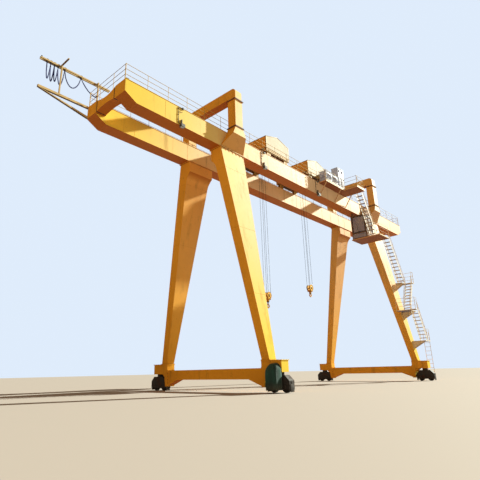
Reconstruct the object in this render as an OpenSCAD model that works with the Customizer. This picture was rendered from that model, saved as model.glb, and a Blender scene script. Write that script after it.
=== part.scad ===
// Double-girder gantry crane on rails, modelled at half the real size.
// X runs along the main girders, Y along the travel rails, Z up.

/* [Main girders] */
// Length of each main girder
girder_len = 24950; // [22000:50:28000]
// Width of a girder across its plates
girder_w = 640; // [560:10:720]
// Depth of a girder
girder_h = 850; // [780:10:920]
// Height of the girder underside above the floor
girder_z = 10320; // [9800:20:10900]
// Distance between the girder centre lines, which is the trolley gauge
gauge = 2080; // [2000:10:2200]
// How far the top and bottom plates stand out past the webs
plate_lip = 14; // [6:1:20]
// Thickness of the top and bottom plates
plate_t = 12; // [8:1:20]
// Length of the raised bottom at each girder end
nose_len = 520; // [400:10:700]
// Rise of the bottom plate at each girder end
nose_rise = 300; // [200:10:380]

/* [Span] */
// Distance between the two leg frames
span = 14200; // [13500:50:15500]
// Length of the girders past the left leg frame
overhang_left = 5800; // [5200:50:6200]
// Reach of the festoon outrigger past the left girder ends
outrigger_len = 2100; // [1800:50:2400]

/* [Legs] */
// Width of a leg along X at its top
leg_top_w = 1520; // [1300:10:1640]
// Width of a leg along X at its foot
leg_foot_w = 390; // [340:10:460]
// Thickness of a leg across Y below the flare
leg_t_top = 530; // [450:10:560]
// Thickness of a leg across Y at its foot
leg_t_foot = 360; // [320:10:400]
// Height of the leg foot above the floor
leg_foot_z = 1110; // [1060:10:1160]
// Distance of the outer face of the leg foot from the crane's middle
foot_out = 3090; // [2950:10:3200]
// Height over which the leg top stands straight under the girder
flare_straight = 500; // [300:10:560]
// Height of the curved flare below the straight top
flare_h = 440; // [380:10:700]
// Thickness of the bolted flange under the girder
flange_t = 28; // [20:1:40]
// How far the bolted flange stands out
flange_lip = 42; // [30:1:60]
// Ribs along each long side of a leg flange
flange_ribs = 7; // [5:1:9]

/* [Ground beams] */
// Height of the ground beam top
sill_top = 840; // [800:10:880]
// Height of the ground beam underside in the middle
sill_under = 450; // [420:10:500]
// Height of the ground beam underside at its deep ends
sill_deep = 210; // [190:10:260]
// Length of the sloping underside at each end
sill_slope = 680; // [500:10:800]
// Width of the ground beam along X
sill_w = 340; // [300:10:380]
// Width of the foot block along X
foot_w = 420; // [400:10:470]
// Reach of the raised foot nose from the crane's middle
nose_out = 3625; // [3560:5:3700]
// Height of the underside of the raised nose
nose_under = 690; // [660:10:720]

/* [Wheel bogies] */
// Distance of the bogie centre from the crane's middle
bogie_y = 3375; // [3360:5:3400]
// Length of a bogie along the rail
bogie_len = 1000; // [960:10:1020]
// Width of a bogie across the rail
bogie_w = 300; // [260:10:320]
// Diameter of a travel wheel
wheel_d = 350; // [320:10:380]
// Distance between the two wheels of a bogie
wheel_pitch = 540; // [500:10:560]

/* [Saddles] */
// Width of a saddle post along X
post_w = 490; // [440:10:540]
// Thickness of a saddle post across Y
post_t = 470; // [420:5:490]
// Distance of the outer face of a saddle post from the crane's middle
post_out = 1830; // [1820:5:1880]
// Height of the flange joint at the foot of a saddle post
post_z = 11365; // [11320:5:11420]
// Height of the flange joint under the cross beam
beam_z = 12830; // [12800:10:12950]
// Depth of the cross beam
beam_h = 620; // [560:10:700]
// Corner radius of the cross beam's upper outer corners
beam_r = 230; // [160:10:280]
// Width of the saddle's cross beam along X
beam_w = 430; // [380:10:470]
// Height of the stubs of the cross beam over its joint
beam_stub = 140; // [100:10:180]
// Width of the haunch along X where it turns upright
haunch_w = 850; // [780:10:900]
// Height at which the haunch turns upright
haunch_z = 10950; // [10900:10:11000]

/* [Railings] */
// Height of a handrail above the girder top
rail_h = 700; // [600:10:760]
// Number of horizontal bars, with the handrail
rail_bars = 3; // [2:1:4]
// Thickness of a handrail or railing bar
bar_t = 18; // [14:1:24]
// Distance wanted between railing posts
post_pitch = 1000; // [800:50:1200]

/* [Trolleys] */
// Length of a trolley along X
trolley_len = 2000; // [1900:10:2100]
// Width of a trolley cover across the girders
cover_w = 2330; // [2240:10:2380]
// Height of the trolley cover's eaves above its frame
cover_h = 700; // [600:10:760]
// Rise of the cover roof to its ridge
cover_rise = 270; // [180:10:300]
// Height of the trolley frame's underside above the girder top
frame_gap = 405; // [390:5:440]
// Depth of the trolley frame
frame_h = 150; // [130:5:180]
// Trolley wheel diameter
trolley_wheel_d = 250; // [230:5:270]
// Middle of the first trolley, measured from the middle of the span
trolley_1_at = -3240; // [-3350:10:-3150]
// Middle of the second trolley, measured from the middle of the span
trolley_2_at = 680; // [580:10:780]
// Height of the trolley rail
track_h = 75; // [60:5:90]

/* [Hooks] */
// Height of the top of the first hook block
hook_1_top = 4455; // [4200:5:4700]
// Height of the top of the second hook block
hook_2_top = 5310; // [5100:5:5500]
// Rope diameter
rope_d = 14; // [12:1:18]
// Distance between rope falls across Y
fall_y = 150; // [130:5:170]

/* [Cab and platforms] */
// Height of the cab platform
cab_z = 8500; // [8400:10:8600]
// Left edge of the cab platform, measured back from the right leg frame
cab_x = 2590; // [2500:10:2650]
// Length of the cab along X
cab_len = 950; // [850:10:1200]
// Width of the cab across Y
cab_w = 1080; // [900:10:1080]
// Height of the cab
cab_h = 1560; // [1450:10:1640]
// Width of the walkway outside the near girder
walk_w = 500; // [440:10:540]
// Left end of the walkway, measured back from the right leg frame
walk_x = 6690; // [6630:10:6750]
// Length of the walkway
walk_len = 2115; // [2080:5:2300]
// Length of the wide platform at the right end of the walkway
wide_len = 1000; // [900:10:1100]
// Width of the wide platform outside the girder
wide_w = 1360; // [1250:10:1450]

/* [Cabinets and lamps] */
// Length of the low cabinet on the walkway
low_cabinet_len = 1350; // [1200:10:1400]
// Height of the low cabinet
low_cabinet_h = 680; // [600:10:720]
// Length of the tall cabinet on the walkway
tall_cabinet_len = 700; // [600:10:760]
// Height of the tall cabinet
tall_cabinet_h = 1380; // [1200:10:1440]
// Clear length before each cabinet
cabinet_gap = 130; // [100:10:200]
// Distance of the first floodlight to the left of the left leg frame
lamp_left = 3100; // [2800:50:3400]
// Distance of the second floodlight to the right of the left leg frame
lamp_right = 2300; // [2000:50:2600]

/* [Hidden] */
$fn = 48;

steel = "#e8c34a";
cream = "#f4e6b8";
dark = "#3a3330";
grey = "#8d8f92";
white = "#eef0f4";

// Places along X, with the middle of the whole outline at zero
mid_x = span / 2 + overhang_left - (girder_len - outrigger_len) / 2;
left_x = mid_x - span / 2;
right_x = mid_x + span / 2;
end_l = left_x - overhang_left;
end_r = end_l + girder_len;
tip_x = end_l - outrigger_len;
// Places across Y and up Z
web_out = gauge / 2 + girder_w / 2;
web_in = gauge / 2 - girder_w / 2;
web_face = web_out - plate_lip;
top_z = girder_z + girder_h;
end_z = girder_z + nose_rise;
leg_top_z = girder_z - flange_t;
post_in = post_out - post_t;
rim = 45;
tie_len = 420;
tie_dip = 140;
tie_lift = 90;
running_gap = 0.3;
seam = 0.3;
plate_gap = 2;
bar_sides = 8;
rail_y = web_out - 70;
rail_inset = 20;
track_w = 60;
stop_len = 120;
stop_h = 260;
stop_inset = 300;
foot_in = foot_out - leg_t_foot - 25;
joint_t = 25;
joint_lip = 34;
foot_lip = 24;
frame_z = top_z + frame_gap;
deck_z = frame_z + frame_h;
drum_r = 150;
drum_half = 430;
buffer_len = 60;
buffer_d = 90;
cheek_r = 172;
fall_x = drum_r + rope_d / 2 + running_gap;
drum_z = deck_z + 270;
walk_t = 60;
walk_l = right_x - walk_x;
walk_r = walk_l + walk_len;
walk_out = web_out + walk_w;
wide_r = walk_r + wide_len;
wide_out = web_out + wide_w;
// Treads and stringers of the stairs
tread_pitch = 210;
tread_depth = 130;
tread_t = 30;
stringer_h = 90;
stringer_t = 14;
stair_w = 400;
stair_rail_h = 450;
flight_posts = 4;
post_inset = 1.5 * bar_t;
rail_start = bar_t / 3;
upper_run = 1450;
upper_top_x = wide_r + seam;
upper_foot_x = upper_top_x + upper_run;
upper_y = 2100;
cab_l = right_x - cab_x;
platform_len = 1350;
platform_in = 1000;
platform_out = 2875;
platform_t = 60;
cab_y = 1050;
cab_base = cab_z + platform_t;
cab_wall = 30;
cab_x0 = cab_l + 30;
cab_x1 = cab_x0 + cab_len;
cab_y1 = cab_y + cab_w - 80;
window_side = 70;
window_sill = 380;
window_head = 90;
pane_t = 8;
pane_lap = 15;
middle_top_x = cab_l + platform_len;
middle_y = 2460;
landing_1_z = 5830;
landing_2_z = 4040;
landing_3_z = 2250;
landing_t = 40;
lane_gap = 30;
lower_y = middle_y + stair_w + lane_gap;
foot_stair_y = lower_y + stair_w + lane_gap;
turn_1 = right_x + 260;
turn_2 = right_x - 640;
turn_3 = right_x + 230;
strip_w = 360;
bracket_h = 420;
ladder_w = 320;
lamp_offset = 150;
landing_1 = [[right_x - 275, turn_1 + strip_w], [middle_y - 15, lower_y + stair_w + 15]];
landing_2 = [[turn_2 - strip_w, right_x + 260], [2560, foot_stair_y + stair_w + 15]];
landing_3 = [[right_x - 150, turn_3 + strip_w], [2905, foot_stair_y + stair_w + 15]];
// Festoon
fest_y = web_out - 30;
line_y = web_out + 75;
chord = 90;
track_z = 12500;
fest_post = 50;
fest_posts = [end_l + 330, end_l - 1290];
fest_d = 44;
fest_end_z = 11885;
fest_low_z = fest_end_z - fest_d / 2 - running_gap;
fest_carriers = [end_l - 390, end_l - 1100, end_l - 1380, end_l - 1530, end_l - 1680, end_l - 1830];
fest_lows = [11780, 11650, 11700, 11630, 11690];
hang_z = track_z - 75;

module block(x, y, z) {
    translate([x[0], y[0], z[0]]) cube([x[1] - x[0], y[1] - y[0], z[1] - z[0]]);
}

module along_x(x0, x1) {
    translate([x0, 0, 0]) rotate([90, 0, 90]) linear_extrude(x1 - x0) children();
}

module along_y(y0, y1) {
    translate([0, y1, 0]) rotate([90, 0, 0]) linear_extrude(y1 - y0) children();
}

// The far side is drawn and the near side is its mirror image
module side(s) {
    if (s < 0) mirror([0, 1, 0]) children();
    else children();
}

module bar(p, q, d = bar_t, sides = bar_sides) {
    v = q - p;
    translate(p) rotate([0, acos(v[2] / norm(v)), atan2(v[1], v[0])])
        cylinder(h = norm(v), d = d, $fn = sides);
}

function bez(a, b, c, t) = (1 - t) * (1 - t) * a + 2 * t * (1 - t) * b + t * t * c;

// Side outline of a girder, with its bottom raised at both ends
module girder_outline() {
    polygon([[end_l, end_z], [end_l + nose_len, girder_z], [end_r - nose_len, girder_z],
        [end_r, end_z], [end_r, top_z], [end_l, top_z]]);
}

module girder() {
    y0 = gauge / 2 - girder_w / 2;
    y1 = gauge / 2 + girder_w / 2;
    along_y(y0 + plate_lip, y1 - plate_lip) girder_outline();
    for (lift = [plate_t, -plate_t])
        along_y(y0, y1) difference() {
            girder_outline();
            translate([0, lift]) girder_outline();
        }
}

module girder_near() {
    color(steel) side(-1) girder();
}

module girder_far() {
    color(steel) side(1) girder();
}

// Beam across the girder ends, dipped on top and arched below
module end_tie(x) {
    steps = 12;
    top = [for (i = [0:steps]) let (a = 180 * i / steps)
        [web_in * (1 - 2 * i / steps), top_z - tie_dip * sin(a)]];
    low = [for (i = [0:steps]) let (a = 180 * i / steps)
        [web_in * (2 * i / steps - 1), end_z + tie_lift * sin(a)]];
    along_x(x, x + tie_len) polygon(concat(top, low));
}

module end_tie_left() {
    color(steel) end_tie(end_l);
}

module end_tie_right() {
    color(steel) end_tie(end_r - tie_len);
}

module trolley_rails() {
    color(grey) for (s = [-1, 1]) side(s) {
        block([end_l + stop_inset, end_r - stop_inset],
            [gauge / 2 - track_w / 2, gauge / 2 + track_w / 2], [top_z, top_z + track_h]);
        for (x = [end_l + stop_inset - stop_len - seam, end_r - stop_inset + seam])
            block([x, x + stop_len], [gauge / 2 - track_w, gauge / 2 + track_w],
                [top_z, top_z + stop_h]);
    }
}

function leg_out(z) = web_out + (foot_out - web_out) * (leg_top_z - z) / (leg_top_z - leg_foot_z);

// Outline of a leg seen along the girders, flared inwards under the girder
module leg_outline() {
    z1 = leg_top_z - flare_straight;
    z2 = z1 - flare_h;
    in2 = leg_out(z2) - leg_t_top;
    foot = foot_out - leg_t_foot;
    slope = (foot - in2) / (z2 - leg_foot_z);
    lift = flare_h * 0.55;
    bend = [for (i = [0:10]) bez([web_in, z1], [in2 - slope * lift, z2 + lift], [in2, z2], i / 10)];
    polygon(concat([[web_out, leg_top_z], [web_in, leg_top_z]], bend,
        [[foot, leg_foot_z], [foot_out, leg_foot_z]]));
}

module leg(x) {
    intersection() {
        along_x(x - leg_top_w / 2, x + leg_top_w / 2) leg_outline();
        along_y(0, foot_out + 1) polygon([[x - leg_foot_w / 2, leg_foot_z],
            [x + leg_foot_w / 2, leg_foot_z], [x + leg_top_w / 2, leg_top_z],
            [x - leg_top_w / 2, leg_top_z]]);
    }
    block([x - leg_top_w / 2 - flange_lip, x + leg_top_w / 2 + flange_lip],
        [web_in - flange_lip, web_out + flange_lip], [leg_top_z, girder_z]);
    block([x - leg_foot_w / 2 - foot_lip, x + leg_foot_w / 2 + foot_lip],
        [foot_out - leg_t_foot - foot_lip, foot_out + foot_lip], [leg_foot_z, leg_foot_z + joint_t]);
    rib_h = 150;
    rib_t = 12;
    rib_step = (leg_top_w - 2 * flange_lip) / (flange_ribs - 1);
    for (i = [0:flange_ribs - 1])
        translate([x - leg_top_w / 2 + flange_lip - rib_t / 2 + i * rib_step, 0, 0])
            along_x(0, rib_t) polygon([[web_out - 20, leg_top_z],
                [web_out + flange_lip - 4, leg_top_z], [leg_out(leg_top_z - rib_h), leg_top_z - rib_h],
                [web_out - 20, leg_top_z - rib_h]]);
}

module leg_left_near() {
    color(steel) side(-1) leg(left_x);
}

module leg_left_far() {
    color(steel) side(1) leg(left_x);
}

module leg_right_near() {
    color(steel) side(-1) leg(right_x);
}

module leg_right_far() {
    color(steel) side(1) leg(right_x);
}

// Foot block with the raised nose over the bogie
module foot(x) {
    low_out = foot_in + 110;
    step_out = foot_in + 165;
    along_x(x - foot_w / 2, x + foot_w / 2) polygon([[foot_in, sill_deep - joint_lip],
        [low_out, sill_deep - joint_lip], [step_out, nose_under - 200],
        [step_out, nose_under], [foot_in, nose_under]]);
    block([x - foot_w / 2, x + foot_w / 2], [foot_in, nose_out],
        [nose_under + seam, leg_foot_z - joint_t]);
    block([x - foot_w / 2 - foot_lip, x + foot_w / 2 + foot_lip], [foot_in, nose_out + foot_lip],
        [leg_foot_z - joint_t + seam, leg_foot_z]);
}

// Beam near the floor between the two feet of a frame
module ground_beam(x) {
    color(steel) {
        y1 = foot_in;
        y2 = foot_in - sill_slope;
        block([x - sill_w / 2, x + sill_w / 2], [-y2, y2], [sill_under, sill_top]);
        for (s = [-1, 1]) side(s) {
            along_x(x - sill_w / 2, x + sill_w / 2) polygon([[y2 + seam, sill_under],
                [y1 - joint_t, sill_deep], [y1 - joint_t, sill_top], [y2 + seam, sill_top]]);
            block([x - sill_w / 2 - joint_lip, x + sill_w / 2 + joint_lip],
                [y1 - joint_t + seam, y1 - seam], [sill_deep - joint_lip, sill_top + joint_lip]);
            foot(x);
        }
    }
}

module ground_beam_left() {
    ground_beam(left_x);
}

module ground_beam_right() {
    ground_beam(right_x);
}

module travel_wheel() {
    r = wheel_d / 2;
    groove = 15;
    flange = 22;
    half = 55;
    rotate([0, 90, 0]) rotate_extrude() polygon([[0, -half], [r, -half], [r, -half + flange],
        [r - groove, -half + flange + 4], [r - groove, half - flange - 4], [r, half - flange],
        [r, half], [0, half]]);
}

// Two-wheel bogie with a pivot block under the foot nose
module bogie(x) {
    low = 105;
    high = 590;
    shoulder = 400;
    plate = 24;
    r = wheel_d / 2;
    color(dark) {
        difference() {
            along_x(x - bogie_w / 2, x + bogie_w / 2) polygon([
                [bogie_y - bogie_len / 2, low], [bogie_y + bogie_len / 2, low],
                [bogie_y + bogie_len / 2, shoulder], [bogie_y + bogie_len / 2 - 190, high],
                [bogie_y - bogie_len / 2 + 190, high], [bogie_y - bogie_len / 2, shoulder]]);
            for (d = [-1, 1])
                block([x - bogie_w / 2 + plate, x + bogie_w / 2 - plate],
                    [bogie_y + d * wheel_pitch / 2 - r - 20, bogie_y + d * wheel_pitch / 2 + r + 20],
                    [0, wheel_d + 30]);
        }
        block([x - 110, x + 110], [bogie_y - 120, bogie_y + 120], [high, nose_under]);
        for (d = [-1, 1]) translate([x, bogie_y + d * wheel_pitch / 2, r]) {
            travel_wheel();
            rotate([0, 90, 0]) cylinder(h = bogie_w + 30, d = 80, center = true);
        }
    }
}

module bogie_left_near() {
    side(-1) bogie(left_x);
}

module bogie_left_far() {
    side(1) bogie(left_x);
}

module bogie_right_near() {
    side(-1) bogie(right_x);
}

module bogie_right_far() {
    side(1) bogie(right_x);
}

// Haunch beside the girder and the upright post on it
module saddle_post(x) {
    belly = post_out + 15;
    low_z = girder_z + plate_gap;
    joint_z = post_z - joint_t;
    color(steel) {
        intersection() {
            along_x(x - leg_top_w / 2, x + leg_top_w / 2) polygon([[web_out, low_z],
                [belly, haunch_z], [belly, joint_z], [post_in - 15, joint_z],
                [web_out, top_z]]);
            along_y(web_out - 1, belly + 1) polygon([[x - leg_top_w / 2, low_z],
                [x + leg_top_w / 2, low_z], [x + haunch_w / 2, haunch_z],
                [x + post_w / 2 + 15, joint_z], [x - post_w / 2 - 15, joint_z],
                [x - haunch_w / 2, haunch_z]]);
        }
        for (z = [joint_z, beam_z - joint_t])
            block([x - post_w / 2 - rim, x + post_w / 2 + rim], [post_in - rim, post_out + rim],
                [z, z + (z == joint_z ? 2 * joint_t : joint_t)]);
        block([x - post_w / 2, x + post_w / 2], [post_in, post_out], [post_z, beam_z]);
    }
}

module saddle_post_left_near() {
    side(-1) saddle_post(left_x);
}

module saddle_post_left_far() {
    side(1) saddle_post(left_x);
}

module saddle_post_right_near() {
    side(-1) saddle_post(right_x);
}

module saddle_post_right_far() {
    side(1) saddle_post(right_x);
}

// Cross beam over the trolleys, with rounded upper corners
module saddle_beam(x) {
    y1 = post_out;
    z0 = beam_z + beam_stub;
    z1 = beam_z + beam_h;
    color(steel) {
        along_x(x - beam_w / 2, x + beam_w / 2) difference() {
            polygon([[-y1, beam_z], [-post_in, beam_z], [-post_in, z0], [post_in, z0],
                [post_in, beam_z], [y1, beam_z], [y1, z1], [-y1, z1]]);
            for (s = [-1, 1]) difference() {
                translate([s > 0 ? y1 - beam_r : -y1 - 1, z1 - beam_r]) square([beam_r + 1, beam_r + 1]);
                translate([s * (y1 - beam_r), z1 - beam_r]) circle(r = beam_r);
            }
        }
        for (s = [-1, 1]) side(s)
            block([x - post_w / 2 - rim, x + post_w / 2 + rim], [post_in - rim, post_out + rim],
                [beam_z, beam_z + joint_t]);
    }
}

module saddle_beam_left() {
    saddle_beam(left_x);
}

module saddle_beam_right() {
    saddle_beam(right_x);
}

// A straight railing along X from x0 to x1 at one place across Y
module railing_x(x0, x1, y, z) {
    n = max(1, round((x1 - x0) / post_pitch));
    for (i = [0:n]) let (x = x0 + (x1 - x0) * i / n)
        bar([x, y, z], [x, y, z + rail_h]);
    for (k = [1:rail_bars]) let (h = z + rail_h * k / rail_bars - bar_t / 2)
        bar([x0, y, h], [x1, y, h]);
}

// A straight railing along Y from y0 to y1
module railing_y(x, y0, y1, z) {
    n = max(1, round((y1 - y0) / post_pitch));
    for (i = [0:n]) let (y = y0 + (y1 - y0) * i / n)
        bar([x, y, z], [x, y, z + rail_h]);
    for (k = [1:rail_bars]) let (h = z + rail_h * k / rail_bars - bar_t / 2)
        bar([x, y0, h], [x, y1, h]);
}

module railing_near() {
    color(cream) {
        railing_x(end_l + rail_inset, walk_l - rail_inset, -rail_y, top_z);
        railing_x(wide_r + rail_inset, end_r - rail_inset, -rail_y, top_z);
        side(-1) {
            railing_x(walk_l + rail_inset, walk_r - rail_inset, walk_out - rail_inset, top_z);
            railing_x(walk_r + 3 * rail_inset, wide_r - 3 * rail_inset, wide_out - rail_inset, top_z);
            railing_y(walk_l + rail_inset, web_out + 40, walk_out - 3 * rail_inset, top_z);
            railing_y(walk_r + rail_inset, walk_out + rail_inset, wide_out - rail_inset, top_z);
            railing_y(wide_r - rail_inset, web_out + 40, upper_y - 2 * rail_inset, top_z);
        }
    }
}

module railing_far() {
    color(cream) railing_x(end_l + rail_inset, end_r - rail_inset, rail_y, top_z);
}

// Railing across the girder ends, with its inner posts on the dipped end tie
module railing_end(x) {
    y1 = rail_y - 2 * bar_t;
    y2 = web_in * 2 / 3;
    color(cream) for (s = [-1, 1]) {
        bar([x, s * y1, top_z], [x, s * y1, top_z + rail_h]);
        bar([x, s * y2, top_z - tie_dip / 2 + bar_t / 6], [x, s * y2, top_z + rail_h]);
    }
    color(cream) for (k = [1:rail_bars]) let (h = top_z + rail_h * k / rail_bars - bar_t / 2)
        bar([x, -y1, h], [x, y1, h]);
}

module railing_left() {
    railing_end(end_l + rail_inset);
}

module railing_right() {
    railing_end(end_r - rail_inset);
}

// Bracketed walkway outside the near girder
module walkway() {
    leg = 40;
    color(steel) side(-1) {
        block([walk_l, walk_r - seam], [web_out, walk_out], [top_z - walk_t, top_z]);
        block([walk_r, wide_r], [web_out, wide_out], [top_z - walk_t, top_z]);
        for (x = [walk_l + 60, walk_l + walk_len * 0.8, wide_r - 2 * leg])
            along_x(x, x + leg) polygon([[web_face, girder_z + 60], [web_face, girder_z + 120],
                [walk_out - 60, top_z - walk_t - seam], [walk_out, top_z - walk_t - seam]]);
    }
}

// Cabinet on a plinth, with a rain cap
module cabinet(x, len, h) {
    y0 = web_out + 20;
    y1 = walk_out - 3 * rail_inset;
    plinth = 40;
    cap = 24;
    lap = 16;
    block([x + lap, x + len - lap], [y0 + lap, y1 - lap], [top_z, top_z + plinth]);
    block([x, x + len], [y0, y1], [top_z + plinth, top_z + h - cap]);
    block([x - lap, x + len + lap], [y0 - lap, y1 + lap], [top_z + h - cap, top_z + h]);
}

module cabinets() {
    color(white) side(-1) {
        cabinet(walk_l + cabinet_gap, low_cabinet_len, low_cabinet_h);
        cabinet(walk_l + 2 * cabinet_gap + low_cabinet_len, tall_cabinet_len, tall_cabinet_h);
    }
}

// A wall panel with one window, seen along its thickness
module window_wall(w, h) {
    difference() {
        square([w, h]);
        translate([window_side, window_sill]) square([w - 2 * window_side,
            h - window_sill - window_head]);
    }
}

// Operator's cab hung under the near girder: floor, roof and four window walls
module cab() {
    z1 = cab_base + cab_h;
    wall_h = cab_h - 2 * cab_wall - 2 * seam;
    low = cab_base + cab_wall + seam;
    color(dark) side(-1) {
        block([cab_x0, cab_x1], [cab_y, cab_y1], [cab_base, cab_base + cab_wall]);
        block([cab_x0 - 15, cab_x1 + 15], [cab_y - 30, cab_y1 + 30], [z1 - cab_wall, z1]);
        for (y = [cab_y, cab_y1 - cab_wall])
            along_y(y, y + cab_wall) translate([cab_x0, low]) window_wall(cab_len, wall_h);
        for (x = [cab_x0, cab_x1 - cab_wall])
            along_x(x, x + cab_wall) translate([cab_y + cab_wall + seam, low])
                window_wall(cab_y1 - cab_y - 2 * cab_wall - 2 * seam, wall_h);
        for (x = [cab_x0 + 60, cab_x1 - 140], y = [cab_y + 30, cab_y + 130])
            block([x, x + 80], [y, y + 40], [z1 + seam, girder_z]);
        block([cab_x0 + 40, cab_x0 + 440], [cab_y1 - 300, cab_y1], [z1 + seam, z1 + 300]);
    }
}

module pane(w, h) {
    translate([window_side - pane_lap, window_sill - pane_lap])
        square([w - 2 * (window_side - pane_lap), h - window_sill - window_head + 2 * pane_lap]);
}

// Panes on the inside of the window walls
module cab_glass() {
    wall_h = cab_h - 2 * cab_wall - 2 * seam;
    low = cab_base + cab_wall + seam;
    color([0.2, 0.22, 0.24, 0.6]) side(-1) {
        for (y = [cab_y + cab_wall + seam, cab_y1 - cab_wall - pane_t - seam])
            along_y(y, y + pane_t) translate([cab_x0, low]) pane(cab_len, wall_h);
        for (x = [cab_x0 + cab_wall + seam, cab_x1 - cab_wall - pane_t - seam])
            along_x(x, x + pane_t) translate([cab_y + cab_wall + seam, low])
                pane(cab_y1 - cab_y - 2 * cab_wall - 2 * seam, wall_h);
    }
}

module cab_platform() {
    hang = 45;
    color(steel) side(-1) {
        block([cab_l, cab_l + platform_len], [platform_in, platform_out],
            [cab_z, cab_z + platform_t]);
        for (y = [platform_in, platform_in + 300])
            block([cab_l + platform_len - hang, cab_l + platform_len], [y, y + hang],
                [cab_base + seam, girder_z]);
        end = cab_l + platform_len - rail_inset;
        railing_x(cab_l + rail_inset, end, platform_out - rail_inset, cab_base + seam);
        railing_y(cab_l + rail_inset, upper_y + stair_w + 2 * rail_inset,
            platform_out - 3 * rail_inset, cab_base + seam);
        railing_y(end, cab_y1 + 70, middle_y - 2 * rail_inset, cab_base + seam);
    }
}

function line_z(t, z0, z1) = z0 + (z1 - z0) * t;

// One flight of stairs along X from its head to its foot
module flight(x0, z0, x1, z1, y) {
    n = round((z0 - z1) / tread_pitch);
    run = x1 - x0;
    dir = run > 0 ? 1 : -1;
    deep = stringer_h * norm([run, z0 - z1]) / abs(run);
    cut = deep * abs(run) / (z0 - z1);
    for (yy = [y, y + stair_w - stringer_t])
        along_y(yy, yy + stringer_t) polygon([[x0, z0], [x1, z1], [x1 - dir * cut, z1],
            [x0, z0 - deep]]);
    for (i = [1:n - 1]) let (t = i / n, x = x0 + run * t, z = z0 + (z1 - z0) * t)
        block([x - (dir > 0 ? tread_depth : 0), x + (dir > 0 ? 0 : tread_depth)],
            [y + stringer_t + seam, y + stair_w - stringer_t - seam],
            [z - 60, z - 60 + tread_t]);
    for (yy = [y + stringer_t / 2, y + stair_w - stringer_t / 2]) {
        for (h = [stair_rail_h / 2, stair_rail_h])
            bar([x0 + dir * rail_start, yy, line_z(rail_start / abs(run), z0, z1) + h],
                [x1 - dir * rail_start, yy, line_z(1 - rail_start / abs(run), z0, z1) + h]);
        for (k = [0:flight_posts])
            let (t = (post_inset + (abs(run) - 2 * post_inset) * k / flight_posts) / abs(run),
                z = line_z(t, z0, z1))
            bar([x0 + run * t, yy, k < flight_posts ? z - bar_t : max(z - bar_t, z1)],
                [x0 + run * t, yy, z + stair_rail_h + bar_t / 4]);
    }
}

// Landing: a strip along the wall side and a strip across its end
module landing(at, z, turn, strip_out, s) {
    y = at[1];
    block(at[0], [y[0], strip_out], [z - landing_t, z]);
    block(s > 0 ? [turn, at[0][1]] : [at[0][0], turn], [strip_out + seam, y[1]], [z - landing_t, z]);
    end = s > 0 ? at[0][1] - rail_inset : at[0][0] + rail_inset;
    railing_y(end, y[0] + rail_inset, y[1] - rail_inset, z + seam);
    if (s > 0) railing_x(turn + 30, end - 30, y[1] - rail_inset, z + seam);
    else railing_x(end + 30, turn - 30, y[1] - rail_inset, z + seam);
}

module bracket(strip_out, z) {
    for (x = [right_x - 130, right_x + 90])
        along_x(x, x + 40) polygon([[leg_out(z - 40) + plate_gap, z - landing_t - seam],
            [strip_out, z - landing_t - seam], [leg_out(z - bracket_h) + plate_gap, z - bracket_h]]);
}

module stair_upper() {
    color(cream) side(-1) {
        flight(upper_top_x, top_z, upper_foot_x, cab_base + seam, upper_y);
    }
}

module stair_middle() {
    color(cream) side(-1) {
        flight(middle_top_x + seam, cab_base, turn_1, landing_1_z + seam, middle_y);
        landing(landing_1, landing_1_z, turn_1 + seam, lower_y - 10, 1);
        bracket(lower_y - 10, landing_1_z);
    }
}

module stair_lower() {
    color(cream) side(-1) {
        flight(turn_1 - seam, landing_1_z, turn_2, landing_2_z + seam, lower_y);
        landing(landing_2, landing_2_z, turn_2 - seam, foot_stair_y - 10, -1);
        bracket(foot_stair_y - 10, landing_2_z);
    }
}

module stair_foot() {
    rungs = 8;
    low = 150;
    x = landing_3[0][1] + 30;
    ladder = [foot_stair_y + 30, foot_stair_y + 30 + ladder_w];
    color(cream) side(-1) {
        flight(turn_2 + seam, landing_2_z, turn_3, landing_3_z + seam, foot_stair_y);
        block(landing_3[0], landing_3[1], [landing_3_z - landing_t, landing_3_z]);
        railing_x(turn_3 + 30, landing_3[0][1] - rail_inset, landing_3[1][1] - rail_inset,
            landing_3_z + seam);
        bracket(landing_3[1][1] - 100, landing_3_z);
        for (y = ladder) {
            block([landing_3[0][1] + seam, x], [y - 12, y + 12],
                [landing_3_z - landing_t, landing_3_z]);
            bar([x, y, low], [x, y, landing_3_z + 500], 24);
        }
        for (i = [0:rungs]) let (z = low + 80 + i * 240)
            bar([x, ladder[0], z], [x, ladder[1], z]);
    }
}

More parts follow.
